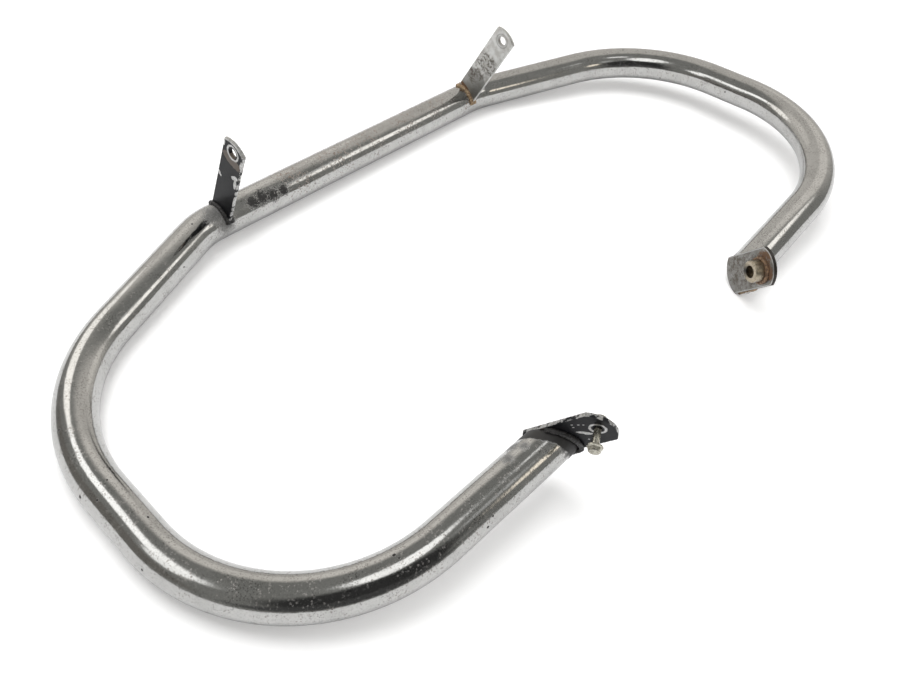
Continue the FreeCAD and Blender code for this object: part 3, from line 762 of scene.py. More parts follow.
@dataclass(frozen=True)
class BareSteel:
    """Dull grey plated steel with grime, rust freckles and a washer mark, painted shade patches, a
    painted highlight along its rim and, where asked, a painted shade on its rim.
    """

    plate: Triple = (0.40, 0.395, 0.375)
    shade: Triple = (0.25, 0.24, 0.22)
    painted_shade_tone: Triple = (0.17, 0.165, 0.15)
    washer_mark: Triple = (0.17, 0.165, 0.155)
    grime: Triple = (0.10, 0.085, 0.065)
    rust: Triple = (0.15, 0.078, 0.038)
    # Painted highlight along the rim, and painted shade on the rim's very edge.
    painted_rim_highlight: Triple = (0.62, 0.62, 0.60)
    painted_rim_shade: Triple = (0.05, 0.045, 0.04)
    bump_depth: float = 0.12 * MM

    def material(
        self, name: str, place: Place, shape: PlateShape, look: PlateLook
    ) -> bpy.types.Material:
        """Build the finish for one plate.

        Args:
            name: the material's name.
            place: the plate's frame.
            shape: the plate's outline.
            look: its stains and wear.

        Returns:
            The material.
        """
        p = PlateFinish(name, place, shape)
        s = p.s
        mottle = s.noise(s.here, 150.0, 4.0, 0.6)
        base = s.blend(s.step(mottle, 0.34, 0.66), self.plate, self.shade)
        zone = p.chips(look.stains, 1.6) if look.stains else 0.0
        speckle = s.step(s.noise(s.here, 330.0, 6.0, 0.75), 0.44, 0.60)
        grime = s.times(zone, speckle) if look.stains else s.times(speckle, 0.15)
        scatter = s.times(s.flecks(560.0, 0.24, 0.10), s.step(mottle, 0.46, 0.60))
        rust_zone = p.chips(look.rusts, 1.2) if look.rusts else s.times(scatter, 0.5)
        rust = s.times(rust_zone, s.step(mottle, 0.34, 0.52))
        rings = s.most(
            p.ring(shape.ring_radius - 1.0, shape.ring_radius),
            s.times(p.ring(shape.hole_radius - 0.3, shape.hole_radius + 0.9), 0.8),
        )
        rim = s.plus(p.rim_gap(), s.times(p.ragged, 1.2))
        edge = s.step(rim, look.rim_wear_and_highlight + 0.2, look.rim_wear_and_highlight - 0.2)
        # Painted shade: darker patches where the plate reflects the dark tube or lies in the collar's
        # shadow.
        if look.painted_shades:
            base = s.blend(s.times(p.chips(look.painted_shades, 0.5), 0.6), base, self.painted_shade_tone)
        colour = s.blend(s.times(rings, 0.55), base, self.washer_mark)
        colour = s.blend(s.times(grime, 0.9), colour, self.grime)
        colour = s.blend(s.times(scatter, 0.7), colour, self.rust)
        colour = s.blend(s.times(rust, 0.95), colour, self.rust)
        # Painted highlight: a pale band along the rim.
        colour = s.blend(s.times(edge, 0.6), colour, self.painted_rim_highlight)
        # Painted shade: a dark band along the very rim, where the plate's edge is in shadow.
        if look.painted_shaded_rim:
            colour = s.blend(s.step(p.rim_gap(), 0.22, 0.10), colour, self.painted_rim_shade)
        dirt = s.most(s.times(grime, 0.8), rust)
        metal = s.lerp(dirt, 0.92, 0.1)
        rough = s.lerp(dirt, s.lerp(mottle, 0.34, 0.46), 0.75)
        height = s.plus(s.times(mottle, 0.6), s.times(dirt, 0.5))
        height = s.minus(height, s.times(rings, 0.5))
        return s.finish(colour, metal, rough, height, self.bump_depth)


@dataclass(frozen=True)
class BeadFinish:
    """Finish of a weld bead: its two tones, how metallic and how rough it is."""

    name: str
    light: Triple
    dark: Triple
    metal: float
    rough: float
    fleck: Triple = (0.34, 0.30, 0.25)
    bump_depth: float = 0.2 * MM

    def material(self) -> bpy.types.Material:
        """Build the finish.

        Returns:
            The material.
        """
        s = Surface(self.name)
        mottle = s.noise(s.here, 520.0, 5.0, 0.7)
        flecks = s.times(s.flecks(900.0, 0.22, 0.10), 0.4)
        colour = s.blend(s.step(mottle, 0.40, 0.62), self.light, self.dark)
        colour = s.blend(flecks, colour, self.fleck)
        metal = s.lerp(mottle, self.metal, self.metal * 0.4)
        rough = s.lerp(mottle, self.rough - 0.1, self.rough + 0.15)
        return s.finish(colour, metal, rough, mottle, self.bump_depth)


@dataclass(frozen=True)
class TurnedMetal:
    """Turned or plated hardware with fine lines about its axis and, where asked, a painted shadow on
    part of its end face.
    """

    name: str
    tone: Triple
    shade: Triple
    rough: float
    rings_per_metre: float
    # Strength of the painted shadow on part of the end face; 0 leaves none.
    grime: float = 0.0
    painted_shadow_centre: Triple = (-0.006, 0.002, 0.0136)
    painted_shadow_radius: float = 0.009
    painted_shadow_tone: Triple = (0.035, 0.036, 0.034)
    fleck: Triple = (0.12, 0.08, 0.05)
    metal: float = 0.95
    bump_depth: float = 0.05 * MM

    def material(self, place: Place) -> bpy.types.Material:
        """Build the finish.

        Args:
            place: frame with Z along the axis.

        Returns:
            The material.
        """
        s = Surface(self.name)
        local = s.within(place)
        lines = s.noise(s.stretched(local, (0.05, 0.05, 1.0)), self.rings_per_metre, 2.0)
        mottle = s.noise(s.here, 650.0, 4.0, 0.7)
        colour = s.blend(s.step(mottle, 0.42, 0.68), self.tone, self.shade)
        colour = s.blend(s.times(s.flecks(800.0, 0.2, 0.1), 0.6), colour, self.fleck)
        # Painted shadow: a patch of the end face is darkened towards the shadow tone.
        painted_shadow_share = s.times(s.near(self.painted_shadow_centre, self.painted_shadow_radius, local), self.grime)
        colour = s.blend(painted_shadow_share, colour, self.painted_shadow_tone)
        rough = s.lerp(mottle, self.rough - 0.08, self.rough + 0.12)
        height = s.plus(s.times(lines, 0.7), s.times(mottle, 0.4))
        return s.finish(colour, self.metal, rough, height, self.bump_depth)


def adopt(obj: bpy.types.Object, slot: str, *nodes: str) -> None:
    """Let a finished piece ride on the guard and stand for its solids.

    Args:
        obj: the piece.
        slot: the record's material slot, not used.
        *nodes: solids that it replaces.
    """
    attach(obj, BODY)
    if nodes:
        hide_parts(*nodes)
    LOG.info("piece %s: %d faces", obj.name, len(obj.data.polygons))


def dress(node: str, material: bpy.types.Material) -> None:
    """Give a solid its material.

    Args:
        node: the solid's name.
        material: the material.
    """
    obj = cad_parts[node]
    obj.data.materials.clear()
    obj.data.materials.append(material)
    LOG.info("solid %s: %s", node, material.name)


def only_material(mesh: bpy.types.Mesh, material: bpy.types.Material) -> None:
    """Give every face of a mesh the same material.

    Args:
        mesh: the mesh.
        material: the material.
    """
    mesh.materials.clear()
    mesh.materials.append(material)
    mesh.polygons.foreach_set("material_index", [0] * len(mesh.polygons))


def poly_path(name: str, points: list[Vector], cyclic: bool = False) -> bpy.types.Object:
    """Make a curve object through points.

    Args:
        name: its name.
        points: the points in metres.
        cyclic: whether it closes.

    Returns:
        The curve object.
    """
    curve = bpy.data.curves.new(name, "CURVE")
    curve.dimensions = "3D"
    spline = curve.splines.new("POLY")
    spline.points.add(len(points) - 1)
    for point, at in zip(spline.points, points):
        point.co = (*at, 1.0)
    spline.use_cyclic_u = cyclic
    obj = bpy.data.objects.new(name, curve)
    bpy.context.scene.collection.objects.link(obj)
    return obj


class PathTree(Graph):
    """Geometry node tree with named inputs that turns a path into a mesh."""

    def __init__(self, name: str, inputs: dict[str, float]) -> None:
        """Open the tree.

        Args:
            name: its name.
            inputs: named sizes and their usual values.
        """
        super().__init__(bpy.data.node_groups.new(name, "GeometryNodeTree"))
        face = self.tree.interface
        face.new_socket("Geometry", in_out="INPUT", socket_type="NodeSocketGeometry")
        self.sockets: dict[str, str] = {}
        for label, value in inputs.items():
            kind = "NodeSocketInt" if isinstance(value, int) else "NodeSocketFloat"
            made = face.new_socket(label, in_out="INPUT", socket_type=kind)
            made.default_value = value
            self.sockets[label] = made.identifier
        made = face.new_socket("Material", in_out="INPUT", socket_type="NodeSocketMaterial")
        self.sockets["Material"] = made.identifier
        face.new_socket("Geometry", in_out="OUTPUT", socket_type="NodeSocketGeometry")
        self.source = self.node("NodeGroupInput")
        self.path = self.source.outputs["Geometry"]

    def close(self, geometry: bpy.types.NodeSocket) -> None:
        """End the tree in Realize Instances and Set Material.

        Args:
            geometry: what the tree made.
        """
        real = self.node("GeometryNodeRealizeInstances")
        self.feed(real.inputs["Geometry"], geometry)
        paint = self.node("GeometryNodeSetMaterial")
        self.feed(paint.inputs["Geometry"], real.outputs["Geometry"])
        self.feed(paint.inputs["Material"], self.source.outputs["Material"])
        out = self.node("NodeGroupOutput")
        self.feed(out.inputs[0], paint.outputs["Geometry"])

    def build(
        self, name: str, path: bpy.types.Object, material: bpy.types.Material, **sizes: float
    ) -> bpy.types.Object:
        """Run the tree on a path and keep the result as a plain mesh object.

        Args:
            name: the new object's name.
            path: the path's object, which is removed.
            material: the finish.
            **sizes: values of named inputs, with underscores for spaces.

        Returns:
            The mesh object.
        """
        modifier = path.modifiers.new("build", "NODES")
        modifier.node_group = self.tree
        for label, value in sizes.items():
            modifier[self.sockets[label.replace("_", " ")]] = value
        modifier[self.sockets["Material"]] = material
        graph = bpy.context.evaluated_depsgraph_get()
        mesh = bpy.data.meshes.new_from_object(path.evaluated_get(graph), depsgraph=graph)
        path.modifiers.remove(modifier)
        bpy.data.objects.remove(path)
        mesh.name = name
        only_material(mesh, material)
        obj = bpy.data.objects.new(name, mesh)
        bpy.context.scene.collection.objects.link(obj)
        return obj


def rod_tree() -> PathTree:
    """Tree that sweeps a round section along a path and caps it."""
    tree = PathTree("rod_along_path", {"Radius": 0.01, "Section Points": 64})
    circle = tree.node("GeometryNodeCurvePrimitiveCircle", mode="RADIUS")
    tree.feed(circle.inputs["Resolution"], tree.source.outputs["Section Points"])
    tree.feed(circle.inputs["Radius"], tree.source.outputs["Radius"])
    sweep = tree.node("GeometryNodeCurveToMesh")
    tree.feed(sweep.inputs["Curve"], tree.path)
    tree.feed(sweep.inputs["Profile Curve"], circle.outputs["Curve"])
    sweep.inputs["Fill Caps"].default_value = True
    smooth = tree.node("GeometryNodeSetShadeSmooth")
    tree.feed(smooth.inputs["Geometry"], sweep.outputs["Mesh"])
    tree.close(smooth.outputs["Geometry"])
    return tree


def bead_tree() -> PathTree:
    """Tree that lays overlapping flattened drops along a path, as a weld's ripples."""
    tree = PathTree("weld_bead", {"Size": 0.002, "Pitch": 0.0011, "Unevenness": 0.14, "Seed": 3})
    spread = tree.node("GeometryNodeCurveToPoints", mode="LENGTH")
    tree.feed(spread.inputs["Curve"], tree.path)
    tree.feed(spread.inputs["Length"], tree.source.outputs["Pitch"])
    ball = tree.node("GeometryNodeMeshIcoSphere")
    ball.inputs["Radius"].default_value = 1.0
    ball.inputs["Subdivisions"].default_value = 3
    low = tree.minus(1.0, tree.source.outputs["Unevenness"])
    high = tree.plus(1.0, tree.source.outputs["Unevenness"])
    chance = tree.node("FunctionNodeRandomValue", data_type="FLOAT")
    tree.feed(chance.inputs[2], low)
    tree.feed(chance.inputs[3], high)
    tree.feed(chance.inputs["Seed"], tree.source.outputs["Seed"])
    size = tree.times(tree.source.outputs["Size"], chance.outputs[1])
    stretch = tree.node("ShaderNodeCombineXYZ")
    tree.feed(stretch.inputs[0], size)
    tree.feed(stretch.inputs[1], size)
    tree.feed(stretch.inputs[2], tree.times(size, 0.62))
    drops = tree.node("GeometryNodeInstanceOnPoints")
    tree.feed(drops.inputs["Points"], spread.outputs["Points"])
    tree.feed(drops.inputs["Instance"], ball.outputs["Mesh"])
    tree.feed(drops.inputs["Rotation"], spread.outputs["Rotation"])
    tree.feed(drops.inputs["Scale"], stretch.outputs[0])
    tree.close(drops.outputs["Instances"])
    return tree


def fuse(obj: bpy.types.Object, voxel: float) -> None:
    """Merge overlapping closed shapes into one smooth skin.

    Args:
        obj: the object.
        voxel: size of the remesh in metres.
    """
    remesh = obj.modifiers.new("fuse", "REMESH")
    remesh.mode = "VOXEL"
    remesh.voxel_size = voxel
    soft = obj.modifiers.new("soft", "SMOOTH")
    soft.factor = 0.5
    soft.iterations = 3
    graph = bpy.context.evaluated_depsgraph_get()
    mesh = bpy.data.meshes.new_from_object(obj.evaluated_get(graph), depsgraph=graph)
    mesh.polygons.foreach_set("use_smooth", [True] * len(mesh.polygons))
    obj.modifiers.clear()
    only_material(mesh, obj.data.materials[0])
    obj.data = mesh


@dataclass
class GuardTube:
    """Bent chrome tube: crossbar, two loops and two slanted ends."""

    radius: float = 15.875 * MM
    corners: tuple[Triple, ...] = (
        (-0.136668, 0.160132, 0.018973),
        (-0.377637, 0.149297, 0.044192),
        (-0.371766, -0.111152, 0.031795),
        (-0.173326, -0.189482, 0.015711),
        (0.173041, -0.189482, 0.020465),
        (0.370534, -0.109714, 0.015037),
        (0.378587, 0.160316, 0.018533),
        (0.147012, 0.168073, 0.044253),
    )
    bend_radii: tuple[float, ...] = (0.1312, 0.1383, 0.070, 0.070, 0.1383, 0.1312)
    overrun: float = 0.030
    step: float = 0.004
    section_points: int = 96
    cut_reach: float = 0.09
    finish: TubeChrome = field(default_factory=TubeChrome)

    def centreline(self) -> list[Vector]:
        """Points along the tube's middle, past both ends, close enough for smooth bends.

        Returns:
            The points.
        """
        corners = [Vector(corner) for corner in self.corners]
        corners[0] += (corners[0] - corners[1]).normalized() * self.overrun
        corners[-1] += (corners[-1] - corners[-2]).normalized() * self.overrun
        points: list[Vector] = []
        here = corners[0]
        for before, corner, after, radius in zip(corners, corners[1:], corners[2:], self.bend_radii):
            back = (before - corner).normalized()
            ahead = (after - corner).normalized()
            half_angle = back.angle(ahead) / 2
            enter = corner + back * radius / math.tan(half_angle)
            leave = corner + ahead * radius / math.tan(half_angle)
            centre = corner + (back + ahead).normalized() * radius / math.sin(half_angle)
            points += self.straight(here, enter)
            sweep = math.pi - 2 * half_angle
            steps = math.ceil(sweep * radius / self.step)
            arm = enter - centre
            for index in range(steps):
                turn = sweep * index / steps
                points.append(centre + arm * math.cos(turn) - back * radius * math.sin(turn))
            here = leave
        return [*points, *self.straight(here, corners[-1]), corners[-1]]

    def straight(self, start: Vector, end: Vector) -> list[Vector]:
        """Evenly spaced points of a straight run from start, without its end."""
        count = max(1, math.ceil((end - start).length / self.step))
        return [start.lerp(end, index / count) for index in range(count)]

    def trim(self, obj: bpy.types.Object) -> None:
        """Cut both ends at the lugs' faces and close them.

        Args:
            obj: the swept tube.
        """
        shell = bmesh.new()
        shell.from_mesh(obj.data)
        for side in Side:
            place = LUG_PLACE[side].matrix()
            at = place.to_translation()
            normal = Vector(place.col[2][:3])
            near = [f for f in shell.faces if (f.calc_center_median() - at).length < self.cut_reach]
            geometry = set(near)
            for face in near:
                geometry.update(face.verts)
                geometry.update(face.edges)
            cut = bmesh.ops.bisect_plane(
                shell, geom=list(geometry), plane_co=at, plane_no=normal, clear_outer=True, dist=1e-7
            )
            rim = [item for item in cut["geom_cut"] if isinstance(item, bmesh.types.BMEdge)]
            made = bmesh.ops.contextual_create(shell, geom=rim)
            for face in made["faces"]:
                face.smooth = False
        bmesh.ops.recalc_face_normals(shell, faces=shell.faces)
        shell.to_mesh(obj.data)
        shell.free()

    def build(self) -> None:
        """Build and dress the tube."""
        path = poly_path("tube_path", self.centreline())
        tube = rod_tree().build(
            "chrome_tube_skin",
            path,
            self.finish.material(),
            Radius=self.radius,
            Section_Points=self.section_points,
        )
        self.trim(tube)
        adopt(tube, "chrome", "guard_tube")


@dataclass
class Bead:
    """One weld bead: the solid it stands for, its path and the size of its drops."""

    node: str
    slot: str
    points: list[Vector]
    size: float
    finish: BeadFinish
    seed: int
    cyclic: bool = False


@dataclass
class WeldBeads:
    """Rippled beads at the tabs' feet, round the tube's ends and at the collar."""

    tube_radius: float = 15.875 * MM
    tab_half_width: float = 11.95 * MM
    tab_half_plate: float = 1.55 * MM
    lug_half_width: float = 16.3 * MM
    collar_radius: float = 9.25 * MM
    lug_plate: float = 3.2 * MM
    pitch: float = 1.15 * MM
    voxel: float = 0.35 * MM
    tab_bead: float = 2.3 * MM
    tab_lift: float = 0.35 * MM
    tab_points: int = 25
    tab_seed: int = 5
    lug_bead: float = 2.1 * MM
    lug_growth: float = 1.3 * MM
    lug_depth: float = 1.1 * MM
    lug_heel: float = 12.0 * MM
    lug_points: int = 121
    lug_seed: int = 11
    collar_bead: float = 1.9 * MM
    collar_lift: float = 0.9 * MM
    collar_points: int = 48
    collar_seed: int = 17
    sooty: BeadFinish = BeadFinish(
        "sooty_weld_finish", (0.045, 0.044, 0.043), (0.015, 0.0145, 0.014), 0.2, 0.45
    )
    rusty: BeadFinish = BeadFinish(
        "rusty_weld_finish", (0.42, 0.31, 0.19), (0.13, 0.075, 0.04), 0.6, 0.42
    )
    collar_rust: BeadFinish = BeadFinish(
        "collar_weld_finish", (0.24, 0.15, 0.085), (0.085, 0.05, 0.03), 0.4, 0.55
    )

    def tab_path(self, side: Side, facing: int) -> list[Vector]:
        """Path along a tab's foot over the tube's round.

        Args:
            side: which tab.
            facing: 1 for the outer face, -1 for the inner one.

        Returns:
            The points.
        """
        place = TAB_PLACE[side].matrix()
        reach = math.asin(self.tab_half_width / self.tube_radius)
        radius = self.tube_radius + self.tab_lift
        out = facing * (self.tab_half_plate + self.tab_lift)
        points = []
        for index in range(self.tab_points):
            turn = -reach + 2 * reach * index / (self.tab_points - 1)
            points.append(place @ Vector((radius * math.sin(turn), radius * math.cos(turn), out)))
        return points

    def lug_path(self, side: Side) -> list[Vector]:
        """Path round the tube's slanted mouth on the lug's tube face.

        Args:
            side: which lug.

        Returns:
            The points.
        """
        place = LUG_PLACE[side].matrix()
        inverse = place.inverted()
        foot, elbow = GuardTube.corners[:2] if side is Side.RIGHT else GuardTube.corners[:-3:-1]
        leg = (inverse.to_3x3() @ (Vector(foot) - Vector(elbow))).normalized()
        stretch = Vector((leg.x, leg.y, 0)).normalized()
        across = Vector((-stretch.y, stretch.x, 0))
        major = self.tube_radius / abs(leg.z) + self.lug_growth * 1.2
        minor = self.tube_radius + self.lug_growth
        edge = self.lug_half_width - 1.0 * MM
        points = []
        for index in range(self.lug_points):
            turn = 2 * math.pi * index / (self.lug_points - 1)
            at = stretch * major * math.cos(turn) + across * minor * math.sin(turn)
            at.z = -self.lug_depth
            if abs(at.y) < edge and at.x > -self.lug_heel:
                points.append(at)
        points.sort(key=lambda at: math.atan2(at.y, at.x))
        return [place @ at for at in points]

    def collar_path(self) -> list[Vector]:
        """Closed path round the collar's foot."""
        place = HOLE_PLACE[Side.RIGHT].matrix()
        radius = self.collar_radius + self.collar_lift
        height = self.lug_plate + self.collar_lift
        turns = [2 * math.pi * index / self.collar_points for index in range(self.collar_points)]
        return [place @ Vector((radius * math.cos(t), radius * math.sin(t), height)) for t in turns]

    def beads(self) -> list[Bead]:
        """List every bead.

        Returns:
            The beads.
        """
        found = []
        for side in Side:
            finish = self.sooty if side is Side.LEFT else self.rusty
            slot = "sooty_weld" if side is Side.LEFT else "rusty_weld"
            name = side.value
            for where, facing in (("outer", 1), ("inner", -1)):
                node = f"tab_weld_{name}_{where}"
                points = self.tab_path(side, facing)
                seed = self.tab_seed + facing
                found.append(Bead(node, slot, points, self.tab_bead, finish, seed))
            path = self.lug_path(side)
            node = f"lug_weld_{name}"
            found.append(Bead(node, slot, path, self.lug_bead, finish, self.lug_seed))
        path = self.collar_path()
        size, finish, seed = self.collar_bead, self.collar_rust, self.collar_seed
        found.append(Bead("collar_weld_right", "rusty_weld", path, size, finish, seed, True))
        return found

    def build(self) -> None:
        """Build every bead."""
        tree = bead_tree()
        finishes: dict[str, bpy.types.Material] = {}
        for bead in self.beads():
            if bead.finish.name not in finishes:
                finishes[bead.finish.name] = bead.finish.material()
            path = poly_path(f"{bead.node}_path", bead.points, bead.cyclic)
            obj = tree.build(
                f"{bead.node}_bead",
                path,
                finishes[bead.finish.name],
                Size=bead.size,
                Pitch=self.pitch,
                Seed=bead.seed,
            )
            fuse(obj, self.voxel)
            adopt(obj, bead.slot, bead.node)


@dataclass
class UpperTabs:
    """Two upright tabs on the crossbar: the left one painted, the right one bare."""

    half_width: float = 11.95
    tip_radius: float = 21.9
    hole_radius: float = 4.5
    ring_radius: float = 7.2
    length: dict[Side, float] = field(default_factory=lambda: {Side.LEFT: 99.6, Side.RIGHT: 105.9})
    hole_height: dict[Side, float] = field(default_factory=lambda: {Side.LEFT: 89.9, Side.RIGHT: 95.5})
    steel: BareSteel = BareSteel(plate=(0.66, 0.66, 0.64), shade=(0.50, 0.49, 0.46))

    def shape(self, side: Side) -> PlateShape:
        """Outline of one tab.

        Args:
            side: which tab.

        Returns:
            The outline.
        """
        return PlateShape(
            self.half_width,
            (0.0, self.length[side] - self.tip_radius),
            self.tip_radius,
            1,
            (0.0, self.hole_height[side]),
            self.hole_radius,
            self.ring_radius,
        )

    def build(self) -> None:
        """Dress both tabs."""
        left = PlateLook(
            chips=(
                Chip((7.4, 66.5), (4.4, 2.2), 42.0),
                Chip((9.2, 60.5), (1.7, 5.4), 4.0),
                Chip((-10.2, 55.6), (1.6, 2.6), 30.0),
                Chip((-8.0, 54.0), (1.0, 1.4), 30.0),
                Chip((11.2, 86.5), (1.4, 4.5), 0.0),
                Chip((11.8, 40.0), (0.7, 7.0), 0.0),
                Chip((-11.0, 91.0), (1.0, 3.0), 0.0),
            ),
            stains=(Chip((0.5, 81.5), (11.5, 5.0), -4.0),),
            rim_wear_and_highlight=0.55,
            tip_wear=Chip((0.0, 99.0), (13.0, 8.0), 0.0),
        )
        place, shape = TAB_PLACE[Side.LEFT], self.shape(Side.LEFT)
        dress("upper_tab_left", BlackPaint().material("painted_tab_finish", place, shape, left))
        right = PlateLook(
            stains=(Chip((0.0, 61.0), (13.0, 12.0), 0.0), Chip((4.0, 46.0), (9.0, 18.0), 0.0)),
            # Painted light on this tab: shade low down where it reflects the dark tube, and a highlight
            # along the rim.
            painted_shades=(Chip((0.0, 30.0), (16.0, 17.0), 0.0),),
            rusts=(Chip((6.0, 18.5), (8.0, 2.0), 0.0),),
            rim_wear_and_highlight=0.5,
        )
        place, shape = TAB_PLACE[Side.RIGHT], self.shape(Side.RIGHT)
        dress("upper_tab_right", self.steel.material("bare_tab_finish", place, shape, right))


@dataclass
class EndLugs:
    """Drilled lugs on the tube's ends: the left one painted, the right one bare."""

    half_width: float = 16.3
    tip_radius: float = 19.7
    hole_radius: float = 3.2
    ring_radius: float = 6.1
    reach: dict[Side, float] = field(default_factory=lambda: {Side.LEFT: 40.9, Side.RIGHT: 30.9})
    tip: dict[Side, float] = field(default_factory=lambda: {Side.LEFT: 11.3, Side.RIGHT: 18.1})
    shift: dict[Side, float] = field(default_factory=lambda: {Side.LEFT: -0.6, Side.RIGHT: 0.6})
    hole_across: dict[Side, float] = field(default_factory=lambda: {Side.LEFT: -0.6, Side.RIGHT: -1.4})
    steel: BareSteel = BareSteel(plate=(0.29, 0.285, 0.27), shade=(0.20, 0.19, 0.17))

    def shape(self, side: Side) -> PlateShape:
        """Outline of one lug.

        Args:
            side: which lug.

        Returns:
            The outline.
        """
        return PlateShape(
            self.half_width,
            (self.reach[side] + self.tip[side] - self.tip_radius, self.shift[side]),
            self.tip_radius,
            0,
            (self.reach[side], self.hole_across[side]),
            self.hole_radius,
            self.ring_radius,
        )

    def build(self) -> None:
        """Dress both lugs."""
        left = PlateLook(
            chips=(
                Chip((28.5, -0.6), (4.8, 1.5), 32.0),
                Chip((31.0, 2.0), (3.2, 1.2), 20.0),
                Chip((28.1, -11.6), (1.0, 0.5), 20.0),
                Chip((32.2, -9.8), (0.9, 0.5), 20.0),
                Chip((26.9, -8.6), (0.8, 0.5), 20.0),
                Chip((35.3, -8.4), (0.8, 0.5), 20.0),
                Chip((26.4, 7.8), (0.9, 0.6), 0.0),
                Chip((9.3, -16.2), (1.6, 1.3), 0.0),
                Chip((50.6, -9.5), (1.2, 1.6), 0.0),
            ),
            stains=(Chip((10.0, -6.0), (5.0, 13.0), -20.0),),
            rim_wear_and_highlight=0.35,
        )
        place, shape = LUG_PLACE[Side.LEFT], self.shape(Side.LEFT)
        dress("lug_left", BlackPaint().material("painted_lug_finish", place, shape, left))
        right = PlateLook(
            stains=(Chip((8.0, 2.0), (22.0, 17.0), 0.0),),
            rusts=(Chip((38.0, 6.0), (9.5, 8.0), 0.0), Chip((42.0, -4.0), (5.0, 8.0), 0.0)),
            # Painted light on this lug: the collar's shadow as a shade patch, a highlight along the rim,
            # and shade on the rim itself.
            painted_shades=(Chip((27.0, 14.0), (6.0, 5.0), 0.0),),
            rim_wear_and_highlight=0.9,
            painted_shaded_rim=True,
        )
        place, shape = LUG_PLACE[Side.RIGHT], self.shape(Side.RIGHT)
        dress("lug_right", self.steel.material("bare_lug_finish", place, shape, right))


@dataclass
class Hardware:
    """Collar on the right lug, and the bolt and nut in the left one, with their threads."""

    lug_plate: float = 3.2 * MM
    thread_radius: float = 3.0 * MM
    pitch: float = 1.0 * MM
    ridge: float = 0.28 * MM
    bolt_start: float = 1.7 * MM
    bolt_end: float = 8.4 * MM
    collar_start: float = 0.4 * MM
    collar_end: float = 5.2 * MM
    ridge_sides: int = 6
    points_per_turn: int = 28
    # The collar's last value, 1.0, gives the full painted shadow on its end face.
    collar: TurnedMetal = TurnedMetal(
        "turned_collar_finish", (0.44, 0.385, 0.29), (0.24, 0.20, 0.145), 0.30, 5200.0, 1.0
    )
    zinc: TurnedMetal = TurnedMetal(
        "zinc_bolt_finish", (0.56, 0.54, 0.46), (0.22, 0.20, 0.16), 0.24, 2600.0
    )

    def helix(self, place: Place, start: float, end: float) -> list[Vector]:
        """Points of a thread's ridge.

        Args:
            place: frame with Z along the axis.
            start: height of its first turn.
            end: height of its last turn.

        Returns:
            The points.
        """
        matrix = place.matrix()
        turns = (end - start) / self.pitch
        count = math.ceil(turns * self.points_per_turn)
        radius = self.thread_radius
        points = []
        for index in range(count + 1):
            share = index / count
            turn = 2 * math.pi * turns * share
            height = start + (end - start) * share
            points.append(matrix @ Vector((radius * math.cos(turn), radius * math.sin(turn), height)))
        return points

    def thread(
        self, name: str, path: list[Vector], metal: bpy.types.Material, slot: str
    ) -> None:
        """Sweep one thread's ridge along its path.

        Args:
            name: the thread's name.
            path: points of the ridge.
            metal: its finish.
            slot: the record's material slot.
        """
        line = poly_path(f"{name}_path", path)
        ridge = rod_tree().build(
            f"{name}_ridge", line, metal, Radius=self.ridge, Section_Points=self.ridge_sides
        )
        adopt(ridge, slot)

    def build(self) -> None:
        """Dress the hardware and cut its threads."""
        zinc = self.zinc.material(HOLE_PLACE[Side.LEFT])
        collar = self.collar.material(HOLE_PLACE[Side.RIGHT])
        dress("lug_bolt_left", zinc)
        dress("lug_nut_left", zinc)
        dress("collar_right", collar)
        bolt_path = self.helix(HOLE_PLACE[Side.LEFT], self.bolt_start, self.bolt_end)
        self.thread("bolt_thread", bolt_path, zinc, "bolt_zinc")
        base = self.lug_plate
        collar_path = self.helix(
            HOLE_PLACE[Side.RIGHT], base + self.collar_start, base + self.collar_end
        )
        self.thread("collar_thread", collar_path, collar, "collar_metal")


@dataclass(frozen=True)
class Patch:
    """Soft patch of light or dark that the metal reflects: direction, spread and brightness."""

    azimuth: float
    elevation: float
    width: float
    height: float
    level: float
    warmth: float = 0.0


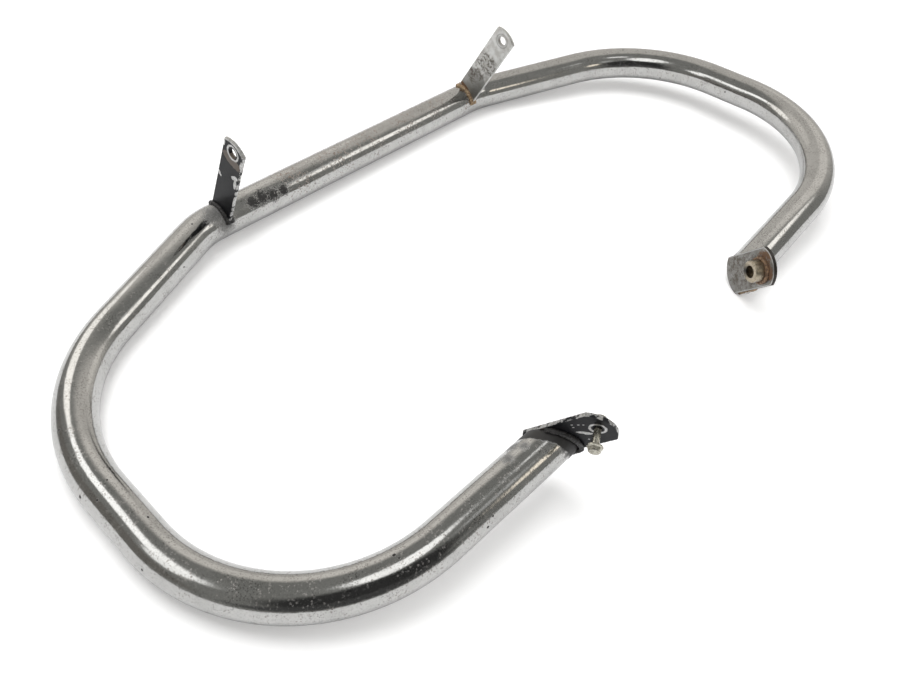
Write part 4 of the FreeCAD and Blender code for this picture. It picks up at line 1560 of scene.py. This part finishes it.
@dataclass
class Studio:
    """Camera, pale floor, soft lamps and the room that the chrome reflects."""

    camera_place: Triple = (0.4860457, 0.3390998, 0.5207459)
    camera_right: Triple = (-0.6824140, 0.7264726, 0.0809240)
    camera_up: Triple = (-0.4893140, -0.5362496, 0.6877559)
    focal_pixels: float = 892.544
    image_width: float = 900.0
    sensor: float = 36.0
    floor_half: float = 6.0
    floor_tone: Triple = (0.80, 0.80, 0.80)
    floor_lift: Triple = (0.26, 0.256, 0.25)
    floor_sheen: Triple = (0.05, 0.05, 0.06)
    # Painted shade: the floor's lift falls to this far from the guard, so the far floor looks dimmer and
    # warmer.
    floor_far_painted_dimming: Triple = (0.12, 0.10, 0.07)
    floor_middle: Triple = (0.2, 0.1, 0.0)
    floor_fade: tuple[float, float] = (0.6, 2.2)
    dome_radius: float = 1.2
    room_light: float = 0.45
    dome_level: float = 0.27
    patches: tuple[Patch, ...] = (
        Patch(222.0, 26.0, 58.0, 34.0, 0.68, 0.15),
        Patch(180.0, 32.0, 14.0, 12.0, 0.90, 0.15),
        Patch(248.0, 34.0, 15.0, 15.0, 0.88, 0.15),
        Patch(330.0, 12.0, 30.0, 10.0, 0.20, 0.2),
        Patch(54.0, 31.0, 33.0, 25.0, 0.045),
        Patch(52.0, 12.0, 40.0, 9.0, 0.08),
        Patch(318.0, 44.0, 27.0, 7.5, 1.9),
        Patch(284.0, 31.0, 12.0, 14.0, 1.7, 0.1),
        Patch(343.0, 34.0, 7.0, 8.0, 1.7),
        Patch(143.0, 38.0, 12.5, 8.5, 1.75, 0.1),
        Patch(103.0, 32.0, 5.0, 6.5, 1.6, 0.4),
        Patch(50.0, 71.0, 12.5, 14.0, 1.75),
        Patch(137.0, 72.0, 5.0, 4.5, 1.4),
        Patch(97.0, 50.0, 4.0, 6.0, 0.65),
        Patch(145.0, 50.0, 5.0, 4.0, 0.85),
    )

    def camera(self) -> None:
        """Set the camera where the photograph was taken from."""
        data = bpy.data.cameras.new("camera")
        data.sensor_width = self.sensor
        data.lens = self.focal_pixels / self.image_width * self.sensor
        data.clip_start = 0.01
        data.clip_end = 100.0
        obj = bpy.data.objects.new("camera", data)
        right = Vector(self.camera_right).normalized()
        up = Vector(self.camera_up).normalized()
        back = right.cross(up)
        turn = Matrix((right, up, back)).transposed().to_4x4()
        obj.matrix_world = Matrix.Translation(self.camera_place) @ turn
        bpy.context.scene.collection.objects.link(obj)
        bpy.context.scene.camera = obj

    def floor(self) -> None:
        """Lay the pale floor, with painted dimming that leaves it greyer and warmer far from the guard.
        """
        half = self.floor_half
        mesh = bpy.data.meshes.new("floor")
        corners = [(-half, -half, 0), (half, -half, 0), (half, half, 0), (-half, half, 0)]
        mesh.from_pydata(corners, [], [(0, 1, 2, 3)])
        obj = bpy.data.objects.new("floor", mesh)
        bpy.context.scene.collection.objects.link(obj)
        s = Surface("pale_floor")
        mesh.materials.append(s.material)
        path = s.node("ShaderNodeLightPath")
        s.finish(self.floor_tone, 0.0, 0.6)
        s.shader.inputs["Specular IOR Level"].default_value = 0.0
        reach = s.vector("DISTANCE", s.here, self.floor_middle).outputs["Value"]
        # Painted shade: the lift fades with distance, so the far floor looks dimmer and warmer.
        seen = s.blend(s.step(reach, *self.floor_fade), self.floor_lift, self.floor_far_painted_dimming)
        lift = s.blend(path.outputs["Is Glossy Ray"], (0.0, 0.0, 0.0), self.floor_sheen)
        lift = s.blend(path.outputs["Is Camera Ray"], lift, seen)
        s.feed(s.shader.inputs["Emission Color"], lift)
        s.shader.inputs["Emission Strength"].default_value = 1.0

    def lamps(self) -> None:
        """Hang two broad soft lamps over the guard."""
        self.lamp("soft_overhead", (0.2, -0.5, 2.4), 1.8, 52.0)
        self.lamp("soft_fill", (-0.6, 1.4, 2.0), 2.0, 15.0)

    def lamp(self, name: str, place: Triple, size: float, power: float) -> None:
        """Hang one square lamp aimed at the middle of the floor.

        Args:
            name: its name.
            place: where it hangs.
            size: its side.
            power: its power in watts.
        """
        data = bpy.data.lights.new(name, "AREA")
        data.size = size
        data.energy = power
        obj = bpy.data.objects.new(name, data)
        obj.visible_glossy = False
        obj.matrix_world = (
            Matrix.Translation(place) @ (-Vector(place)).to_track_quat("-Z", "Y").to_matrix().to_4x4()
        )
        bpy.context.scene.collection.objects.link(obj)

    def room(self) -> None:
        """Light the room evenly, white to the eye."""
        world = bpy.data.worlds.new("room")
        bpy.context.scene.world = world
        world.use_nodes = True
        g = Graph(world.node_tree)
        g.tree.nodes.clear()
        path = g.node("ShaderNodeLightPath")
        seen = g.blend(path.outputs["Is Camera Ray"], (self.room_light,) * 3, (1.0, 1.0, 1.0))
        shine = g.node("ShaderNodeBackground")
        g.feed(shine.inputs["Color"], seen)
        out = g.node("ShaderNodeOutputWorld")
        g.feed(out.inputs["Surface"], shine.outputs[0])

    def dome(self) -> None:
        """Stand the walls and windows that the metal mirrors round the guard, unseen by the eye."""
        shell = bmesh.new()
        bmesh.ops.create_uvsphere(shell, u_segments=64, v_segments=32, radius=self.dome_radius)
        low = [v for v in shell.verts if v.co.z < -1e-4]
        bmesh.ops.delete(shell, geom=low, context="VERTS")
        mesh = bpy.data.meshes.new("mirrored_room")
        shell.to_mesh(mesh)
        shell.free()
        obj = bpy.data.objects.new("mirrored_room", mesh)
        bpy.context.scene.collection.objects.link(obj)
        material = bpy.data.materials.new("mirrored_room")
        material.use_nodes = True
        mesh.materials.append(material)
        g = Graph(material.node_tree)
        g.tree.nodes.clear()
        here = g.node("ShaderNodeTexCoord").outputs["Object"]
        direction = g.vector("NORMALIZE", here).outputs["Vector"]
        level: object = (self.dome_level, self.dome_level, self.dome_level * 0.96)
        for patch in self.patches:
            level = g.blend(self.patch_mask(g, direction, patch), level, self.tint(patch))
        shine = g.node("ShaderNodeEmission")
        g.feed(shine.inputs["Color"], level)
        clear = g.node("ShaderNodeBsdfTransparent")
        choice = g.node("ShaderNodeMixShader")
        g.feed(choice.inputs[0], g.node("ShaderNodeLightPath").outputs["Is Glossy Ray"])
        g.feed(choice.inputs[1], clear.outputs[0])
        g.feed(choice.inputs[2], shine.outputs[0])
        out = g.node("ShaderNodeOutputMaterial")
        g.feed(out.inputs["Surface"], choice.outputs[0])

    @staticmethod
    def tint(patch: Patch) -> Triple:
        """Colour of a patch: its level, warmer where it has warmth."""
        warm = patch.warmth
        return (patch.level * (1 + 0.25 * warm), patch.level, patch.level * (1 - 0.35 * warm))

    @staticmethod
    def patch_mask(g: Graph, direction: bpy.types.NodeSocket, patch: Patch) -> bpy.types.NodeSocket:
        """Soft oval mask about a direction.

        Args:
            g: the dome's tree.
            direction: direction from the middle of the floor.
            patch: the patch.

        Returns:
            The mask.
        """
        az, el = math.radians(patch.azimuth), math.radians(patch.elevation)
        axis = Vector((math.cos(az) * math.cos(el), math.sin(az) * math.cos(el), math.sin(el)))
        side = Vector((-math.sin(az), math.cos(az), 0.0))
        rise = axis.cross(side)
        found = []
        for arm, spread in ((side, patch.width), (rise, patch.height)):
            reach = g.vector("DOT_PRODUCT", direction, tuple(arm)).outputs["Value"]
            found.append(g.math("DIVIDE", reach, math.sin(math.radians(spread))))
        along, rising = found
        total = g.plus(g.times(along, along), g.times(rising, rising))
        facing = g.vector("DOT_PRODUCT", direction, tuple(axis)).outputs["Value"]
        front = g.step(facing, 0.0, 0.1)
        return g.times(g.step(total, 1.35, 0.65), front)

    def build(self) -> None:
        """Set up the whole studio."""
        self.camera()
        self.floor()
        self.lamps()
        self.room()
        self.dome()
        bpy.context.scene.view_settings.view_transform = "Standard"


def main() -> None:
    """Dress the guard and set the studio round it."""
    logging.basicConfig(level=logging.INFO, format="%(name)s: %(message)s")
    GuardTube().build()
    WeldBeads().build()
    UpperTabs().build()
    EndLugs().build()
    Hardware().build()
    Studio().build()


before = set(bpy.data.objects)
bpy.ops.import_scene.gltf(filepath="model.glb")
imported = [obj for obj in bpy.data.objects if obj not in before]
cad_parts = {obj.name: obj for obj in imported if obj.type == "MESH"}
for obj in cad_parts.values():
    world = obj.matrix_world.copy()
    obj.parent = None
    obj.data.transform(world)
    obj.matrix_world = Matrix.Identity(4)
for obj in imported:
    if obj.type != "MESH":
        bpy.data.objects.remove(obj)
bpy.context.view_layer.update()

if __name__ == "__main__":
    main()
